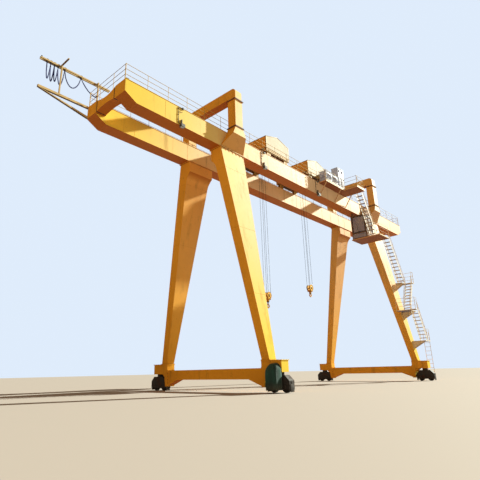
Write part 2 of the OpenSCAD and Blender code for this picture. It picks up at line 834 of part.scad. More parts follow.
// Outrigger that carries the festoon track past the far girder
module festoon_frame() {
    color(cream) {
        x1 = end_l;
        block([tip_x, x1], [fest_y - chord / 2, fest_y + chord / 2], [top_z - chord, top_z]);
        along_y(fest_y - chord / 2, fest_y + chord / 2) polygon([[x1, end_z], [x1, end_z + chord],
            [tip_x + 60, top_z - chord - seam], [tip_x, top_z - chord - seam]]);
        for (x = fest_posts)
            block([x, x + fest_post], [fest_y - fest_post / 2, fest_y + fest_post / 2],
                [top_z + seam, track_z]);
        block([fest_posts[1], fest_posts[1] + fest_post],
            [fest_y - 550, line_y + 70], [track_z + seam, track_z + 50]);
        block([fest_posts[0], fest_posts[0] + fest_post],
            [fest_y - fest_post / 2, line_y + 70], [track_z + seam, track_z + 50]);
        block([fest_posts[0], fest_posts[0] + fest_post],
            [fest_y + fest_post / 2 + seam, line_y + 30], [fest_end_z, fest_end_z + 40]);
        for (y = [line_y - 70, line_y + 30])
            block([tip_x, fest_posts[0] + 620], [y, y + 40], [track_z - 60, track_z]);
        for (x = fest_carriers)
            along_x(x - 35, x + 35) polygon([[line_y - 25, hang_z + fest_d / 2 + seam],
                [line_y + 25, hang_z + fest_d / 2 + seam], [line_y + 25, track_z + seam],
                [line_y + 60, track_z + seam], [line_y + 60, track_z + 30],
                [line_y - 60, track_z + 30], [line_y - 60, track_z + seam],
                [line_y - 25, track_z + seam]]);
    }
}

// Points of the festoon cable: out from its clamp, then loop after loop
function loop_points(a, b, low) = [for (i = [1:9]) let (t = i / 10)
    [a + (b - a) * t, line_y, hang_z - (hang_z - low) * pow(sin(180 * t), 0.6)]];
fest_route = concat(
    [for (i = [0:6]) let (t = i / 6) [fest_posts[0] + (fest_carriers[0] - fest_posts[0]) * t, line_y,
        fest_low_z + (hang_z - fest_low_z) * t * t]],
    [for (k = [0:4]) each concat(loop_points(fest_carriers[k], fest_carriers[k + 1], fest_lows[k]),
        [[fest_carriers[k + 1], line_y, hang_z]])]);

module tube(path, d, sides = 8) {
    n = len(path);
    function aim(i) = let (a = path[max(0, i - 1)], b = path[min(n - 1, i + 1)]) (b - a) / norm(b - a);
    function ring(i) = let (v = aim(i), w = cross(v, [0, 1, 0]))
        [for (k = [0:sides - 1]) path[i] + d / 2 * (cos(360 * k / sides) * [0, 1, 0]
            + sin(360 * k / sides) * w / norm(w))];
    points = [for (i = [0:n - 1]) each ring(i)];
    faces = concat([[for (k = [0:sides - 1]) k]],
        [for (i = [0:n - 2], k = [0:sides - 1]) [i * sides + k, (i + 1) * sides + k,
            (i + 1) * sides + (k + 1) % sides, i * sides + (k + 1) % sides]],
        [[for (k = [sides - 1:-1:0]) (n - 1) * sides + k]]);
    polyhedron(points, faces);
}

module festoon_cable() {
    color("#1b2a55") tube(fest_route, fest_d);
}

// Green weather hood over the drive of one bogie
module drive_hood() {
    x1 = left_x - foot_w / 2 - running_gap;
    x0 = x1 - 430;
    y = bogie_y;
    low = 90;
    high = 1010;
    shoulder = 380;
    color("#2f4a3c") side(-1) intersection() {
        along_x(x0, x1) union() {
            translate([y - 250, low]) square([500, high - low - 250]);
            translate([y, high - 250]) circle(r = 250);
        }
        along_y(y - 260, y + 260) polygon([[x0, low], [x1, low], [x1, high],
            [x1 - 180, high - 20], [x0 + 90, high - 160], [x0 + 20, high - shoulder]]);
    }
}

module floodlights() {
    color(grey) side(-1) for (x = [left_x - lamp_left, left_x + lamp_right, mid_x + lamp_offset]) {
        block([x, x + 30], [web_face, web_out + 60], [girder_z + 20, girder_z + 260]);
        block([x - 80, x + 110], [web_out + 2, web_out + 150], [girder_z - 110, girder_z + 20]);
    }
}

// Trolley chassis with its wheels, deck and rope drum
module trolley_frame(tx) {
    x0 = tx - trolley_len / 2;
    x1 = tx + trolley_len / 2;
    y1 = cover_w / 2;
    beam = 240;
    wheel_z = top_z + track_h + trolley_wheel_d / 2 + running_gap;
    wheel_x = trolley_len / 2 - 260;
    color(steel) {
        for (s = [-1, 1]) side(s) {
            block([x0, x1], [y1 - beam, y1], [frame_z, deck_z]);
            for (d = [-1, 1]) {
                difference() {
                    block([tx + d * wheel_x - 160, tx + d * wheel_x + 160],
                        [gauge / 2 - 75, gauge / 2 + 75], [wheel_z - 30, frame_z]);
                    block([tx + d * wheel_x - 170, tx + d * wheel_x + 170],
                        [gauge / 2 - 38, gauge / 2 + 38], [wheel_z - 40, frame_z - 20]);
                }
                translate([tx + d * wheel_x, gauge / 2, wheel_z]) rotate([90, 0, 0]) {
                    cylinder(h = 64, d = trolley_wheel_d, center = true);
                    cylinder(h = 170, d = 60, center = true);
                }
            }
        }
        for (d = [-1, 1]) block([tx + d * (trolley_len / 2 - 80) - 80, tx + d * (trolley_len / 2 - 80) + 80],
            [-y1 + beam, y1 - beam], [frame_z, deck_z]);
        difference() {
            block([x0 + 160, x1 - 160], [-y1 + beam, y1 - beam], [deck_z - 20, deck_z]);
            block([tx - 320, tx + 320], [-320, 320], [deck_z - 21, deck_z + 1]);
        }
        for (s = [-1, 1], d = [-1, 1]) side(s)
            translate([tx + d * trolley_len / 2, gauge / 2 - track_w, frame_z + frame_h / 2])
                rotate([0, d * 90, 0]) cylinder(h = buffer_len, d = buffer_d);
        for (s = [-1, 1]) side(s)
            block([tx - 130, tx + 130], [drum_half, drum_half + 70], [deck_z, drum_z + 60]);
        translate([tx, 0, drum_z]) rotate([90, 0, 0]) {
            cylinder(h = 2 * drum_half, r = drum_r, center = true);
            cylinder(h = 2 * drum_half + 180, d = 90, center = true);
        }
    }
}

module house(x0, x1, z0, eave, ridge) {
    polygon([[x0, z0], [x1, z0], [x1, eave], [(x0 + x1) / 2, ridge], [x0, eave]]);
}

module trolley_cover(tx) {
    wall = 12;
    x0 = tx - trolley_len / 2;
    x1 = tx + trolley_len / 2;
    eave = deck_z + cover_h;
    ridge = eave + cover_rise;
    color(cream) difference() {
        along_y(-cover_w / 2, cover_w / 2) house(x0, x1, deck_z, eave, ridge);
        along_y(-cover_w / 2 + wall, cover_w / 2 - wall)
            house(x0 + wall, x1 - wall, deck_z - 1, eave - wall, ridge - wall);
    }
}

module ropes(tx, z) {
    color(dark) for (dx = [-1, 1], dy = [-1, 1])
        translate([tx + dx * fall_x, dy * fall_y / 2, z]) cylinder(h = drum_z - z, d = rope_d, $fn = 12);
}

// Hook block hung from the falls: cheeks, sheaves and a forged hook
module hook_block(tx, top, tall) {
    cheek_h = 330;
    half_y = fall_y / 2 + 36;
    axle_z = top - cheek_r;
    bowl_r = 80;
    hook_d = 60;
    shank_d = 52;
    hook_z = top - tall + bowl_r + 30;
    color("#e0a020") for (s = [-1, 1]) side(s)
        translate([tx, half_y, axle_z]) rotate([90, 0, 0]) linear_extrude(16) union() {
            circle(r = cheek_r);
            translate([-110, -cheek_h + 120]) square([220, cheek_h - 120]);
        }
    color(dark) {
        for (dy = [-1, 1]) translate([tx, dy * fall_y / 2, axle_z]) rotate([90, 0, 0])
            cylinder(h = 36, r = drum_r, center = true);
        translate([tx, 0, axle_z]) rotate([90, 0, 0]) cylinder(h = 2 * half_y + 30, d = 60, center = true);
        block([tx - 100, tx + 100], [-half_y, half_y], [axle_z - 215, axle_z - 155]);
        translate([tx, 0, hook_z + bowl_r - 8])
            cylinder(h = axle_z - 155 - hook_z - bowl_r + 8, d = shank_d);
        translate([tx, 0, hook_z]) rotate([90, 0, 0]) {
            rotate([0, 0, -200]) rotate_extrude(angle = 295) translate([bowl_r, 0]) circle(d = hook_d);
            rotate([0, 0, -200]) translate([bowl_r, 4, 0]) rotate([90, 0, 0])
                cylinder(h = 60, d1 = hook_d - 6, d2 = hook_d / 3);
        }
        block([tx - 50, tx + 50], [-50, 50], [axle_z - 290, axle_z - 215]);
    }
}

module trolley_1_frame() {
    trolley_frame(mid_x + trolley_1_at);
}

module trolley_1_cover() {
    trolley_cover(mid_x + trolley_1_at);
}

module rope_1() {
    ropes(mid_x + trolley_1_at, hook_1_top - cheek_r);
}

module hook_block_1() {
    hook_block(mid_x + trolley_1_at, hook_1_top, 800);
}

module trolley_2_frame() {
    trolley_frame(mid_x + trolley_2_at);
}

module trolley_2_cover() {
    trolley_cover(mid_x + trolley_2_at);
}

module rope_2() {
    ropes(mid_x + trolley_2_at, hook_2_top - cheek_r);
}

module hook_block_2() {
    hook_block(mid_x + trolley_2_at, hook_2_top, 690);
}

girder_near();
girder_far();
end_tie_left();
end_tie_right();
trolley_rails();
leg_left_near();
leg_left_far();
leg_right_near();
leg_right_far();
ground_beam_left();
ground_beam_right();
bogie_left_near();
bogie_left_far();
bogie_right_near();
bogie_right_far();
saddle_post_left_near();
saddle_post_left_far();
saddle_post_right_near();
saddle_post_right_far();
saddle_beam_left();
saddle_beam_right();
railing_near();
railing_far();
railing_left();
railing_right();
walkway();
cabinets();
cab();
cab_glass();
cab_platform();
stair_upper();
stair_middle();
stair_lower();
stair_foot();
festoon_frame();
festoon_cable();
drive_hood();
floodlights();
trolley_1_frame();
trolley_1_cover();
rope_1();
hook_block_1();
trolley_2_frame();
trolley_2_cover();
rope_2();
hook_block_2();
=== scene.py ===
import logging
import math
from dataclasses import dataclass
from enum import Enum
from typing import Iterable, Sequence

import bmesh
import bpy
from mathutils import Matrix, Vector


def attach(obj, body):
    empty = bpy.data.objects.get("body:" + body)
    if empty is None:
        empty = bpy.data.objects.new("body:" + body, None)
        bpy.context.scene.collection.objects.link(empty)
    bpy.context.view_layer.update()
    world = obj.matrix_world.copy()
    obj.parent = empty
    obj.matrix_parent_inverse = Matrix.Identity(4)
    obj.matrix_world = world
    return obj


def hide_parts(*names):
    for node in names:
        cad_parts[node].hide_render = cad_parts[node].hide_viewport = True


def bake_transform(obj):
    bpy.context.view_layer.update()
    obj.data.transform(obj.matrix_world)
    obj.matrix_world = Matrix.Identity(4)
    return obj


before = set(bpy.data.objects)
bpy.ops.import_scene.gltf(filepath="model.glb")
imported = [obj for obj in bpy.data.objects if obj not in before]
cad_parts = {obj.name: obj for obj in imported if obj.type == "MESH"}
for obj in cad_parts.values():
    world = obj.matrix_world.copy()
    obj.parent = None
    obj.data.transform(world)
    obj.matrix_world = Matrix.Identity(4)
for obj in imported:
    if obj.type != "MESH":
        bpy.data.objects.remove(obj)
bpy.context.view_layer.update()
log = logging.getLogger("gantry_crane")
Point = Sequence[float]
Colour = tuple[float, float, float, float]


class Side(Enum):
    """The two long sides of the crane."""

    NEAR = -1
    FAR = 1


class Body(Enum):
    """The crane's moving bodies, by the name of each in the frame."""

    CRANE = "crane"
    TROLLEY_1 = "trolley_1"
    HOOK_1 = "hook_1"
    TROLLEY_2 = "trolley_2"
    HOOK_2 = "hook_2"


def tone(red: int, green: int, blue: int) -> Colour:
    """Turns a screen colour into the linear colour that shaders read.

    Args:
        red: Red from 0 to 255.
        green: Green from 0 to 255.
        blue: Blue from 0 to 255.

    Returns:
        Linear red, green, blue and a full alpha.
    """
    parts = [c / 255 for c in (red, green, blue)]
    lin = [c / 12.92 if c <= 0.04045 else ((c + 0.055) / 1.055) ** 2.4 for c in parts]
    return (lin[0], lin[1], lin[2], 1.0)


def steps(low: float, high: float, count: int) -> list[float]:
    """Spreads a number of places evenly from one end to the other.

    Args:
        low: First place.
        high: Last place.
        count: How many places, at least two.

    Returns:
        The places in order.
    """
    return [low + (high - low) * i / (count - 1) for i in range(count)]


class Tree:
    """A material's node tree, grown with short calls."""

    def __init__(self, name: str) -> None:
        """Starts a material.

        Args:
            name: The material's name.
        """
        self.material = bpy.data.materials.new(name)
        self.material.use_nodes = True
        self.nodes = self.material.node_tree.nodes
        self.links = self.material.node_tree.links
        self.shader = self.nodes["Principled BSDF"]
        self.coords = self.nodes.new("ShaderNodeTexCoord").outputs["Object"]
        self.normal = self.nodes.new("ShaderNodeNewGeometry").outputs["Normal"]

    def feed(self, socket: bpy.types.NodeSocket, value: object) -> None:
        """Links a socket to another one, or sets its value.

        Args:
            socket: The socket that takes the value.
            value: A socket or a plain value.
        """
        if isinstance(value, bpy.types.NodeSocket):
            self.links.new(value, socket)
        else:
            socket.default_value = value

    def add(self, kind: str, inputs: dict[object, object], **settings: object) -> bpy.types.Node:
        """Adds a node.

        Args:
            kind: Blender's name for the node type.
            inputs: Values or sockets by input name or number.
            **settings: Properties to set on the node.

        Returns:
            The new node.
        """
        node = self.nodes.new(kind)
        for key, value in settings.items():
            setattr(node, key, value)
        for key, value in inputs.items():
            self.feed(node.inputs[key], value)
        return node

    def noise(self, scale: float, stretch: Point = (1, 1, 1), detail: float = 4.0,
              rough: float = 0.55) -> bpy.types.NodeSocket:
        """Adds a cloudy pattern.

        Args:
            scale: Clouds per metre.
            stretch: How much finer the pattern is along each axis.
            detail: Number of finer layers.
            rough: Strength of the finer layers.

        Returns:
            The pattern's value socket.
        """
        place = self.add("ShaderNodeMapping", {"Vector": self.coords, "Scale": tuple(stretch)})
        return self.add("ShaderNodeTexNoise", {"Vector": place.outputs[0], "Scale": scale,
                                               "Detail": detail, "Roughness": rough}).outputs[0]

    def rings(self, scale: float, radius: float) -> bpy.types.NodeSocket:
        """Adds faint rings, as the heat of welds behind a plate leaves them.

        Args:
            scale: Rings per metre.
            radius: A ring's radius as a share of their spacing.

        Returns:
            The rings' strength, broken up by a fine noise.
        """
        near = self.add("ShaderNodeTexVoronoi", {"Vector": self.coords, "Scale": scale,
                                                 "Randomness": 0.45}).outputs["Distance"]
        off = self.math("ABSOLUTE", self.math("SUBTRACT", near, radius))
        return self.math("MULTIPLY", self.ramp(off, 0.035, 0.005),
                         self.ramp(self.noise(4.0, detail=3.0), 0.46, 0.56))

    def math(self, operation: str, a: object, b: object = 0.0) -> bpy.types.NodeSocket:
        """Adds a sum of two values.

        Args:
            operation: Blender's name for the operation.
            a: First value or socket.
            b: Second value or socket.

        Returns:
            The result's socket.
        """
        return self.add("ShaderNodeMath", {0: a, 1: b}, operation=operation).outputs[0]

    def ramp(self, value: object, low: float, high: float, start: float = 0.0,
             end: float = 1.0) -> bpy.types.NodeSocket:
        """Maps a value from one range onto another, held at both ends.

        Args:
            value: The socket to map.
            low: Value that gives start.
            high: Value that gives end.
            start: Result at low.
            end: Result at high.

        Returns:
            The result's socket.
        """
        return self.add("ShaderNodeMapRange", {0: value, 1: low, 2: high, 3: start, 4: end},
                        interpolation_type="SMOOTHSTEP").outputs[0]

    def blend(self, share: object, a: object, b: object) -> bpy.types.NodeSocket:
        """Mixes two colours.

        Args:
            share: Share of the second colour.
            a: First colour or socket.
            b: Second colour or socket.

        Returns:
            The mixed colour's socket.
        """
        return self.add("ShaderNodeMix", {0: share, 6: a, 7: b}, data_type="RGBA").outputs[2]

    def facing(self, direction: Point) -> bpy.types.NodeSocket:
        """Gives how far a surface faces a direction, from -1 to 1.

        Args:
            direction: The direction in the crane's frame.

        Returns:
            The value's socket.
        """
        aim = tuple(Vector(direction).normalized())
        node = self.add("ShaderNodeVectorMath", {0: self.normal, 1: aim}, operation="DOT_PRODUCT")
        return node.outputs["Value"]

    def along(self, axis: int) -> bpy.types.NodeSocket:
        """Gives the place along one axis, in metres.

        Args:
            axis: 0, 1 or 2 for X, Y or Z.

        Returns:
            The value's socket.
        """
        return self.add("ShaderNodeSeparateXYZ", {0: self.coords}).outputs[axis]

    def bump(self, height: bpy.types.NodeSocket, strength: float, depth: float) -> None:
        """Raises the surface by a height pattern, on top of any bump before.

        Args:
            height: The pattern.
            strength: How strongly it shows.
            depth: Its height in metres.
        """
        before = self.shader.inputs["Normal"].links
        inputs: dict[object, object] = {"Height": height, "Strength": strength, "Distance": depth}
        if before:
            inputs["Normal"] = before[0].from_socket
        node = self.add("ShaderNodeBump", inputs)
        self.links.new(node.outputs[0], self.shader.inputs["Normal"])


@dataclass(frozen=True)
class Finish:
    """A surface finish that makes its material once."""

    name: str

    def material(self) -> bpy.types.Material:
        """Gives the finish's material, made at its first use."""
        found = bpy.data.materials.get(self.name)
        return found if found else self.make()

    def make(self) -> bpy.types.Material:
        """Makes the material; each kind of finish has its own."""
        raise NotImplementedError


@dataclass(frozen=True)
class Paint(Finish):
    """Weathered paint on steel, with painted light and shade by side, a painted sun glare that is
    partly sun fading, a painted haze, and painted shade with dirt below.
    """

    # Painted light and shade: the first five colours are one paint as seen in shade, in sunlight,
    # under a painted sun glare that is partly sun fading, under a painted haze, and on undersides
    # in painted shade mixed with dirt.
    shaded: Colour = tone(240, 160, 40)
    sunlit: Colour = tone(240, 203, 70)
    bleach_and_glare: Colour = tone(244, 208, 164)
    painted_haze: Colour = tone(212, 166, 106)
    under: Colour = tone(170, 90, 24)
    dirt: Colour = tone(84, 58, 34)
    rust: Colour = tone(108, 52, 24)
    dust: Colour = tone(150, 136, 112)
    roughness: float = 0.54
    sheen: float = 0.14
    grime: float = 0.35
    spots: float = 0.4
    ribs: float = 0.0

    def make(self) -> bpy.types.Material:
        """Builds the paint: painted light and shade by side, clouds, rain streaks, chips and orange
        peel.
        """
        t = Tree(self.name)
        clouds = t.noise(0.55, detail=5.0)
        grain = t.noise(9.0, detail=6.0)
        streaks = t.noise(2.6, (1.0, 1.0, 0.09), detail=5.0, rough=0.7)
        # Painted haze: the shaded colour grows paler and greyer towards the right end and upwards.
        along = t.math("MULTIPLY", t.ramp(t.along(0), -9.0, 6.0), t.ramp(t.along(2), -1.0, 9.5))
        # Painted sun glare, partly real sun fading: the sunlit colour turns paler towards the right
        # end and upwards, broken up by clouds.
        fade = t.math("MULTIPLY", t.ramp(t.along(0), -11.5, -2.0), t.ramp(t.along(2), 0.3, 6.5))
        fade = t.math("MULTIPLY", fade, t.ramp(clouds, 0.2, 0.6, 0.9, 1.0))
        # Painted cast shade: on the far side below the girders, faces keep more of the shaded
        # colour, as if in the crane's own shadow.
        painted_cast_shade = t.math("MULTIPLY", t.ramp(t.along(1), 0.2, 0.7),
                           t.ramp(t.along(2), 10.34, 10.28, 0.0, 0.7))
        # Painted light: faces turned towards the key light take the sunlit colour, the rest take
        # the shaded one.
        sunlit_share = t.math("MULTIPLY", t.ramp(t.facing((0.25, -0.9, 0.35)), 0.0, 0.8),
                         t.math("SUBTRACT", 1.0, painted_cast_shade))
        shaded = t.blend(t.math("MULTIPLY", along, 0.6), self.shaded, self.painted_haze)
        colour = t.blend(sunlit_share, shaded, t.blend(fade, self.sunlit, self.bleach_and_glare))
        # Painted shade, partly dirt: faces turned downwards take the darker underside colour.
        colour = t.blend(t.ramp(t.facing((0, 0, -1)), 0.35, 0.9), colour, self.under)
        colour = t.blend(t.ramp(clouds, 0.42, 0.78, 0.0, 0.12), colour, self.dirt)
        upright = t.ramp(t.math("ABSOLUTE", t.facing((0, 0, 1))), 0.9, 0.4)
        run = t.math("MULTIPLY", t.ramp(streaks, 0.52, 0.74, 0.0, self.grime), upright)
        colour = t.blend(run, colour, self.dirt)
        heat = t.math("MULTIPLY", t.rings(1.7, 0.13), 0.2)
        colour = t.blend(heat, colour, self.dirt)
        dusty = t.math("MULTIPLY", t.ramp(t.facing((0, 0, 1)), 0.5, 0.95),
                       t.ramp(grain, 0.35, 0.7, 0.1, 0.5))
        colour = t.blend(dusty, colour, self.dust)
        chips = t.math("MULTIPLY", t.ramp(t.noise(16.0, detail=7.0, rough=0.7), 0.66, 0.70),
                       t.ramp(clouds, 0.42, 0.6, 0.0, self.spots))
        colour = t.blend(chips, colour, self.rust)
        t.feed(t.shader.inputs["Base Color"], colour)
        gloss = t.math("ADD", t.ramp(grain, 0.3, 0.75, -0.02, 0.06),
                       t.ramp(t.along(2), 2.0, 12.0, self.roughness + 0.36, self.roughness))
        t.feed(t.shader.inputs["Roughness"],
               t.math("ADD", gloss, t.math("MULTIPLY", run, 0.4)))
        t.shader.inputs["Specular IOR Level"].default_value = self.sheen
        t.bump(clouds, 0.05, 0.02)
        t.bump(t.noise(140.0, detail=2.0), 0.05, 0.001)
        t.bump(chips, 0.5, -0.001)
        if self.ribs:
            wave = t.math("SINE", t.math("MULTIPLY", t.along(2), 2 * math.pi / self.ribs))
            t.bump(wave, 0.8, 0.006)
        return t.material


@dataclass(frozen=True)
class Steel(Finish):
    """Bare or greased steel with wear marks, rust bloom and dust."""

    fresh: Colour = tone(120, 116, 110)
    worn: Colour = tone(176, 172, 166)
    bloom: Colour = tone(104, 62, 36)
    metal: float = 0.85
    roughness: float = 0.4
    rusty: float = 0.5
    brushed: tuple[float, float, float] = (1.0, 1.0, 1.0)

    def make(self) -> bpy.types.Material:
        """Builds the steel: brushed colour, rust bloom in patches and fine scratches."""
        t = Tree(self.name)
        fine = t.noise(22.0, self.brushed, detail=6.0)
        patch = t.noise(3.2, detail=6.0, rough=0.65)
        colour = t.blend(t.ramp(fine, 0.35, 0.7), self.fresh, self.worn)
        rust = t.ramp(patch, 0.48, 0.68, 0.0, self.rusty)
        colour = t.blend(rust, colour, self.bloom)
        t.feed(t.shader.inputs["Base Color"], colour)
        t.shader.inputs["Metallic"].default_value = self.metal
        t.feed(t.shader.inputs["Roughness"],
               t.math("ADD", t.ramp(fine, 0.3, 0.8, -0.1, 0.15),
                      t.math("ADD", t.math("MULTIPLY", rust, 0.4), self.roughness)))
        t.bump(fine, 0.25, 0.002)
        t.bump(patch, 0.3, 0.004)
        return t.material


@dataclass(frozen=True)
class Pane(Finish):
    """Tinted window glass with dust and dried rain."""

    tint: Colour = tone(160, 148, 156)
    dust: Colour = tone(168, 158, 140)

    def make(self) -> bpy.types.Material:
        """Builds the glass, clear in the middle of a pane and dusty in clouds."""
        t = Tree(self.name)
        film = t.noise(5.0, (1.0, 1.0, 0.4), detail=6.0)
        drops = t.noise(60.0, detail=3.0)
        t.feed(t.shader.inputs["Base Color"],
               t.blend(t.ramp(film, 0.45, 0.75, 0.0, 0.5), self.tint, self.dust))
        t.feed(t.shader.inputs["Roughness"], t.ramp(film, 0.35, 0.7, 0.06, 0.35))
        t.shader.inputs["Transmission Weight"].default_value = 0.25
        t.shader.inputs["IOR"].default_value = 1.45
        t.shader.inputs["Specular IOR Level"].default_value = 0.7
        t.bump(drops, 0.1, 0.001)
        return t.material


@dataclass(frozen=True)
class Rubber(Finish):
    """Rubber or plastic sheath with chalky bloom and scuffs."""

    colour: Colour = tone(26, 38, 84)
    chalk: Colour = tone(86, 98, 134)
    roughness: float = 0.55

    def make(self) -> bpy.types.Material:
        """Builds the sheath: chalky patches and fine ribs along its skin."""
        t = Tree(self.name)
        bloom = t.noise(7.0, detail=6.0, rough=0.7)
        t.feed(t.shader.inputs["Base Color"],
               t.blend(t.ramp(bloom, 0.45, 0.75, 0.0, 0.6), self.colour, self.chalk))
        t.feed(t.shader.inputs["Roughness"],
               t.math("ADD", t.ramp(bloom, 0.3, 0.7, -0.1, 0.2), self.roughness))
        t.bump(t.noise(90.0, detail=3.0), 0.3, 0.001)
        return t.material


@dataclass(frozen=True)
class Canvas(Finish):
    """Green weather canvas with weave, faded folds and water marks."""

    colour: Colour = tone(16, 50, 42)
    faded: Colour = tone(26, 80, 66)
    mud: Colour = tone(84, 72, 56)
    threads: float = 1500.0

    def make(self) -> bpy.types.Material:
        """Builds the cloth: crossing threads, sun fading and a splash line."""
        t = Tree(self.name)
        soft = t.noise(3.0, (1.0, 1.0, 0.5), detail=5.0)
        colour = t.blend(t.ramp(soft, 0.35, 0.75), self.colour, self.faded)
        splash = t.ramp(t.along(2), 0.42, 0.12, 0.0, 0.45)
        colour = t.blend(splash, colour, self.mud)
        t.feed(t.shader.inputs["Base Color"], colour)
        t.shader.inputs["Roughness"].default_value = 0.85
        t.shader.inputs["Sheen Weight"].default_value = 0.08
        across = t.math("SINE", t.math("MULTIPLY", t.along(1), self.threads))
        upward = t.math("SINE", t.math("MULTIPLY", t.along(2), self.threads))
        t.bump(t.math("MULTIPLY", across, upward), 0.25, 0.0015)
        t.bump(soft, 0.4, 0.02)
        return t.material


@dataclass(frozen=True)
class Strand(Finish):
    """Greased wire rope whose strands wind round it."""

    steel: Colour = tone(66, 62, 58)
    grease: Colour = tone(24, 21, 19)
    lay: float = 0.09

    def make(self) -> bpy.types.Material:
        """Builds the rope: dark grooves between slanting strands."""
        t = Tree(self.name)
        climb = t.math("MULTIPLY", t.along(2), 2 * math.pi / self.lay * 6)
        turn = t.math("MULTIPLY", t.math("ADD", t.along(0), t.along(1)), 300.0)
        wave = t.math("SINE", t.math("ADD", climb, turn))
        groove = t.ramp(wave, -0.9, 0.1)
        smear = t.noise(4.0, detail=4.0)
        colour = t.blend(groove, self.grease, self.steel)
        t.feed(t.shader.inputs["Base Color"],
               t.blend(t.ramp(smear, 0.45, 0.7, 0.0, 0.7), colour, self.grease))
        t.shader.inputs["Metallic"].default_value = 0.7
        t.feed(t.shader.inputs["Roughness"], t.ramp(smear, 0.3, 0.7, 0.35, 0.6))
        t.bump(wave, 0.7, 0.002)
        return t.material


@dataclass(frozen=True)
class Lamp(Finish):
    """A lamp's prismatic front glass."""

    clear: Colour = tone(206, 210, 212)
    dust: Colour = tone(140, 130, 112)

    def make(self) -> bpy.types.Material:
        """Builds the glass with upright prisms and dust."""
        t = Tree(self.name)
        prism = t.math("SINE", t.math("MULTIPLY", t.along(0), 500.0))
        dust = t.noise(12.0, detail=5.0)
        t.feed(t.shader.inputs["Base Color"],
               t.blend(t.ramp(dust, 0.4, 0.7, 0.0, 0.5), self.clear, self.dust))
        t.feed(t.shader.inputs["Roughness"], t.ramp(dust, 0.3, 0.7, 0.08, 0.3))
        t.shader.inputs["Transmission Weight"].default_value = 0.3
        t.bump(prism, 0.5, 0.002)
        return t.material


YELLOW = Paint("yellow_girder_paint")
# A darker copy of the yellow paint for railings and toe boards: painted shade on the thin bars.
RAIL = Paint("yellow_rail_paint", shaded=tone(150, 104, 42), sunlit=tone(232, 192, 78),
             bleach_and_glare=tone(240, 214, 150), under=tone(108, 66, 34), spots=0.6)
# The grey-purple underside colour is painted shade under the treads.
STAIR = Paint("cream_stair_paint", shaded=tone(236, 204, 156), sunlit=tone(244, 236, 212),
              bleach_and_glare=tone(246, 240, 226), painted_haze=tone(234, 208, 172), under=tone(120, 112, 128),
              spots=0.6)
TRACK = Paint("tan_track_paint", shaded=tone(156, 124, 84), sunlit=tone(206, 176, 122),
              bleach_and_glare=tone(210, 190, 146), painted_haze=tone(160, 132, 100), under=tone(96, 70, 46),
              spots=0.8)
COVER = Paint("cream_cover_paint", shaded=tone(208, 156, 78), sunlit=tone(214, 198, 168),
              bleach_and_glare=tone(216, 202, 176), under=tone(140, 88, 42), sheen=0.05, grime=0.15)
# A darker copy of the yellow paint for the walkway and the platforms: its darker tones are painted
# shade beneath them.
DECK = Paint("deck_paint_with_painted_shade", shaded=tone(206, 142, 84), sunlit=tone(240, 206, 150),
             bleach_and_glare=tone(240, 214, 170), painted_haze=tone(200, 148, 104), under=tone(136, 80, 54))
RIBBED = Paint("ribbed_cover_paint", shaded=tone(232, 160, 54), sunlit=tone(236, 200, 104),
               bleach_and_glare=tone(240, 214, 140), painted_haze=tone(226, 158, 62), grime=0.3)
WHITE = Paint("white_cabinet_paint", shaded=tone(190, 198, 226), sunlit=tone(214, 220, 240),
              bleach_and_glare=tone(214, 220, 240), painted_haze=tone(190, 198, 226), under=tone(150, 150, 160),
              grime=0.15, spots=0.1)
BROWN = Paint("brown_cab_paint", shaded=tone(104, 74, 52), sunlit=tone(150, 108, 74),
              bleach_and_glare=tone(168, 128, 92), painted_haze=tone(112, 84, 64), under=tone(72, 48, 32),
              roughness=0.36)
LAMP_GREY = Paint("grey_lamp_paint", shaded=tone(78, 80, 80), sunlit=tone(112, 113, 112),
                  bleach_and_glare=tone(124, 124, 120), painted_haze=tone(82, 82, 80), under=tone(64, 62, 58))
HOOK_PAINT = Paint("orange_block_paint", shaded=tone(204, 120, 30), sunlit=tone(240, 176, 60),
                   bleach_and_glare=tone(246, 196, 96), under=tone(140, 78, 26), spots=0.9, grime=0.6)
DARK = Steel("dark_bogie_steel", fresh=tone(40, 35, 31), worn=tone(66, 57, 49),
             bloom=tone(84, 48, 28), metal=0.2, roughness=0.7, rusty=0.6)
BRIGHT = Steel("worn_rail_steel", brushed=(0.1, 1.0, 1.0))
BOLT = Steel("bolt_steel", fresh=tone(92, 70, 50), worn=tone(132, 112, 88), metal=0.6,
             roughness=0.5, rusty=0.8)
FORGED = Steel("forged_hook_steel", fresh=tone(52, 50, 50), worn=tone(104, 100, 98), metal=0.7)
GRATE = Steel("galvanised_tread_steel", fresh=tone(150, 148, 142), worn=tone(188, 186, 180),
              metal=0.6, roughness=0.5, rusty=0.45)
GLASS = Pane("tinted_cab_glass")
BLUE = Rubber("blue_festoon_sheath", colour=tone(16, 30, 104), chalk=tone(50, 66, 128))
BLACK = Rubber("black_rubber", colour=tone(26, 25, 25), chalk=tone(70, 68, 66))
UNDER = Paint("shaded_chassis_paint", shaded=tone(150, 92, 34), sunlit=tone(206, 160, 80),
              bleach_and_glare=tone(214, 178, 110), under=tone(96, 54, 22), grime=0.7, spots=0.8)
# Its very dark shaded colour is painted shade along the cover's edges.
COVER_EDGE = Paint("brown_cover_edge_paint", shaded=tone(86, 54, 26), sunlit=tone(226, 196, 140),
                   bleach_and_glare=tone(240, 220, 176), under=tone(60, 38, 20))
GREEN = Canvas("green_hood_canvas")
ROPE = Strand("greased_wire_rope")
LENS = Lamp("floodlight_lens")


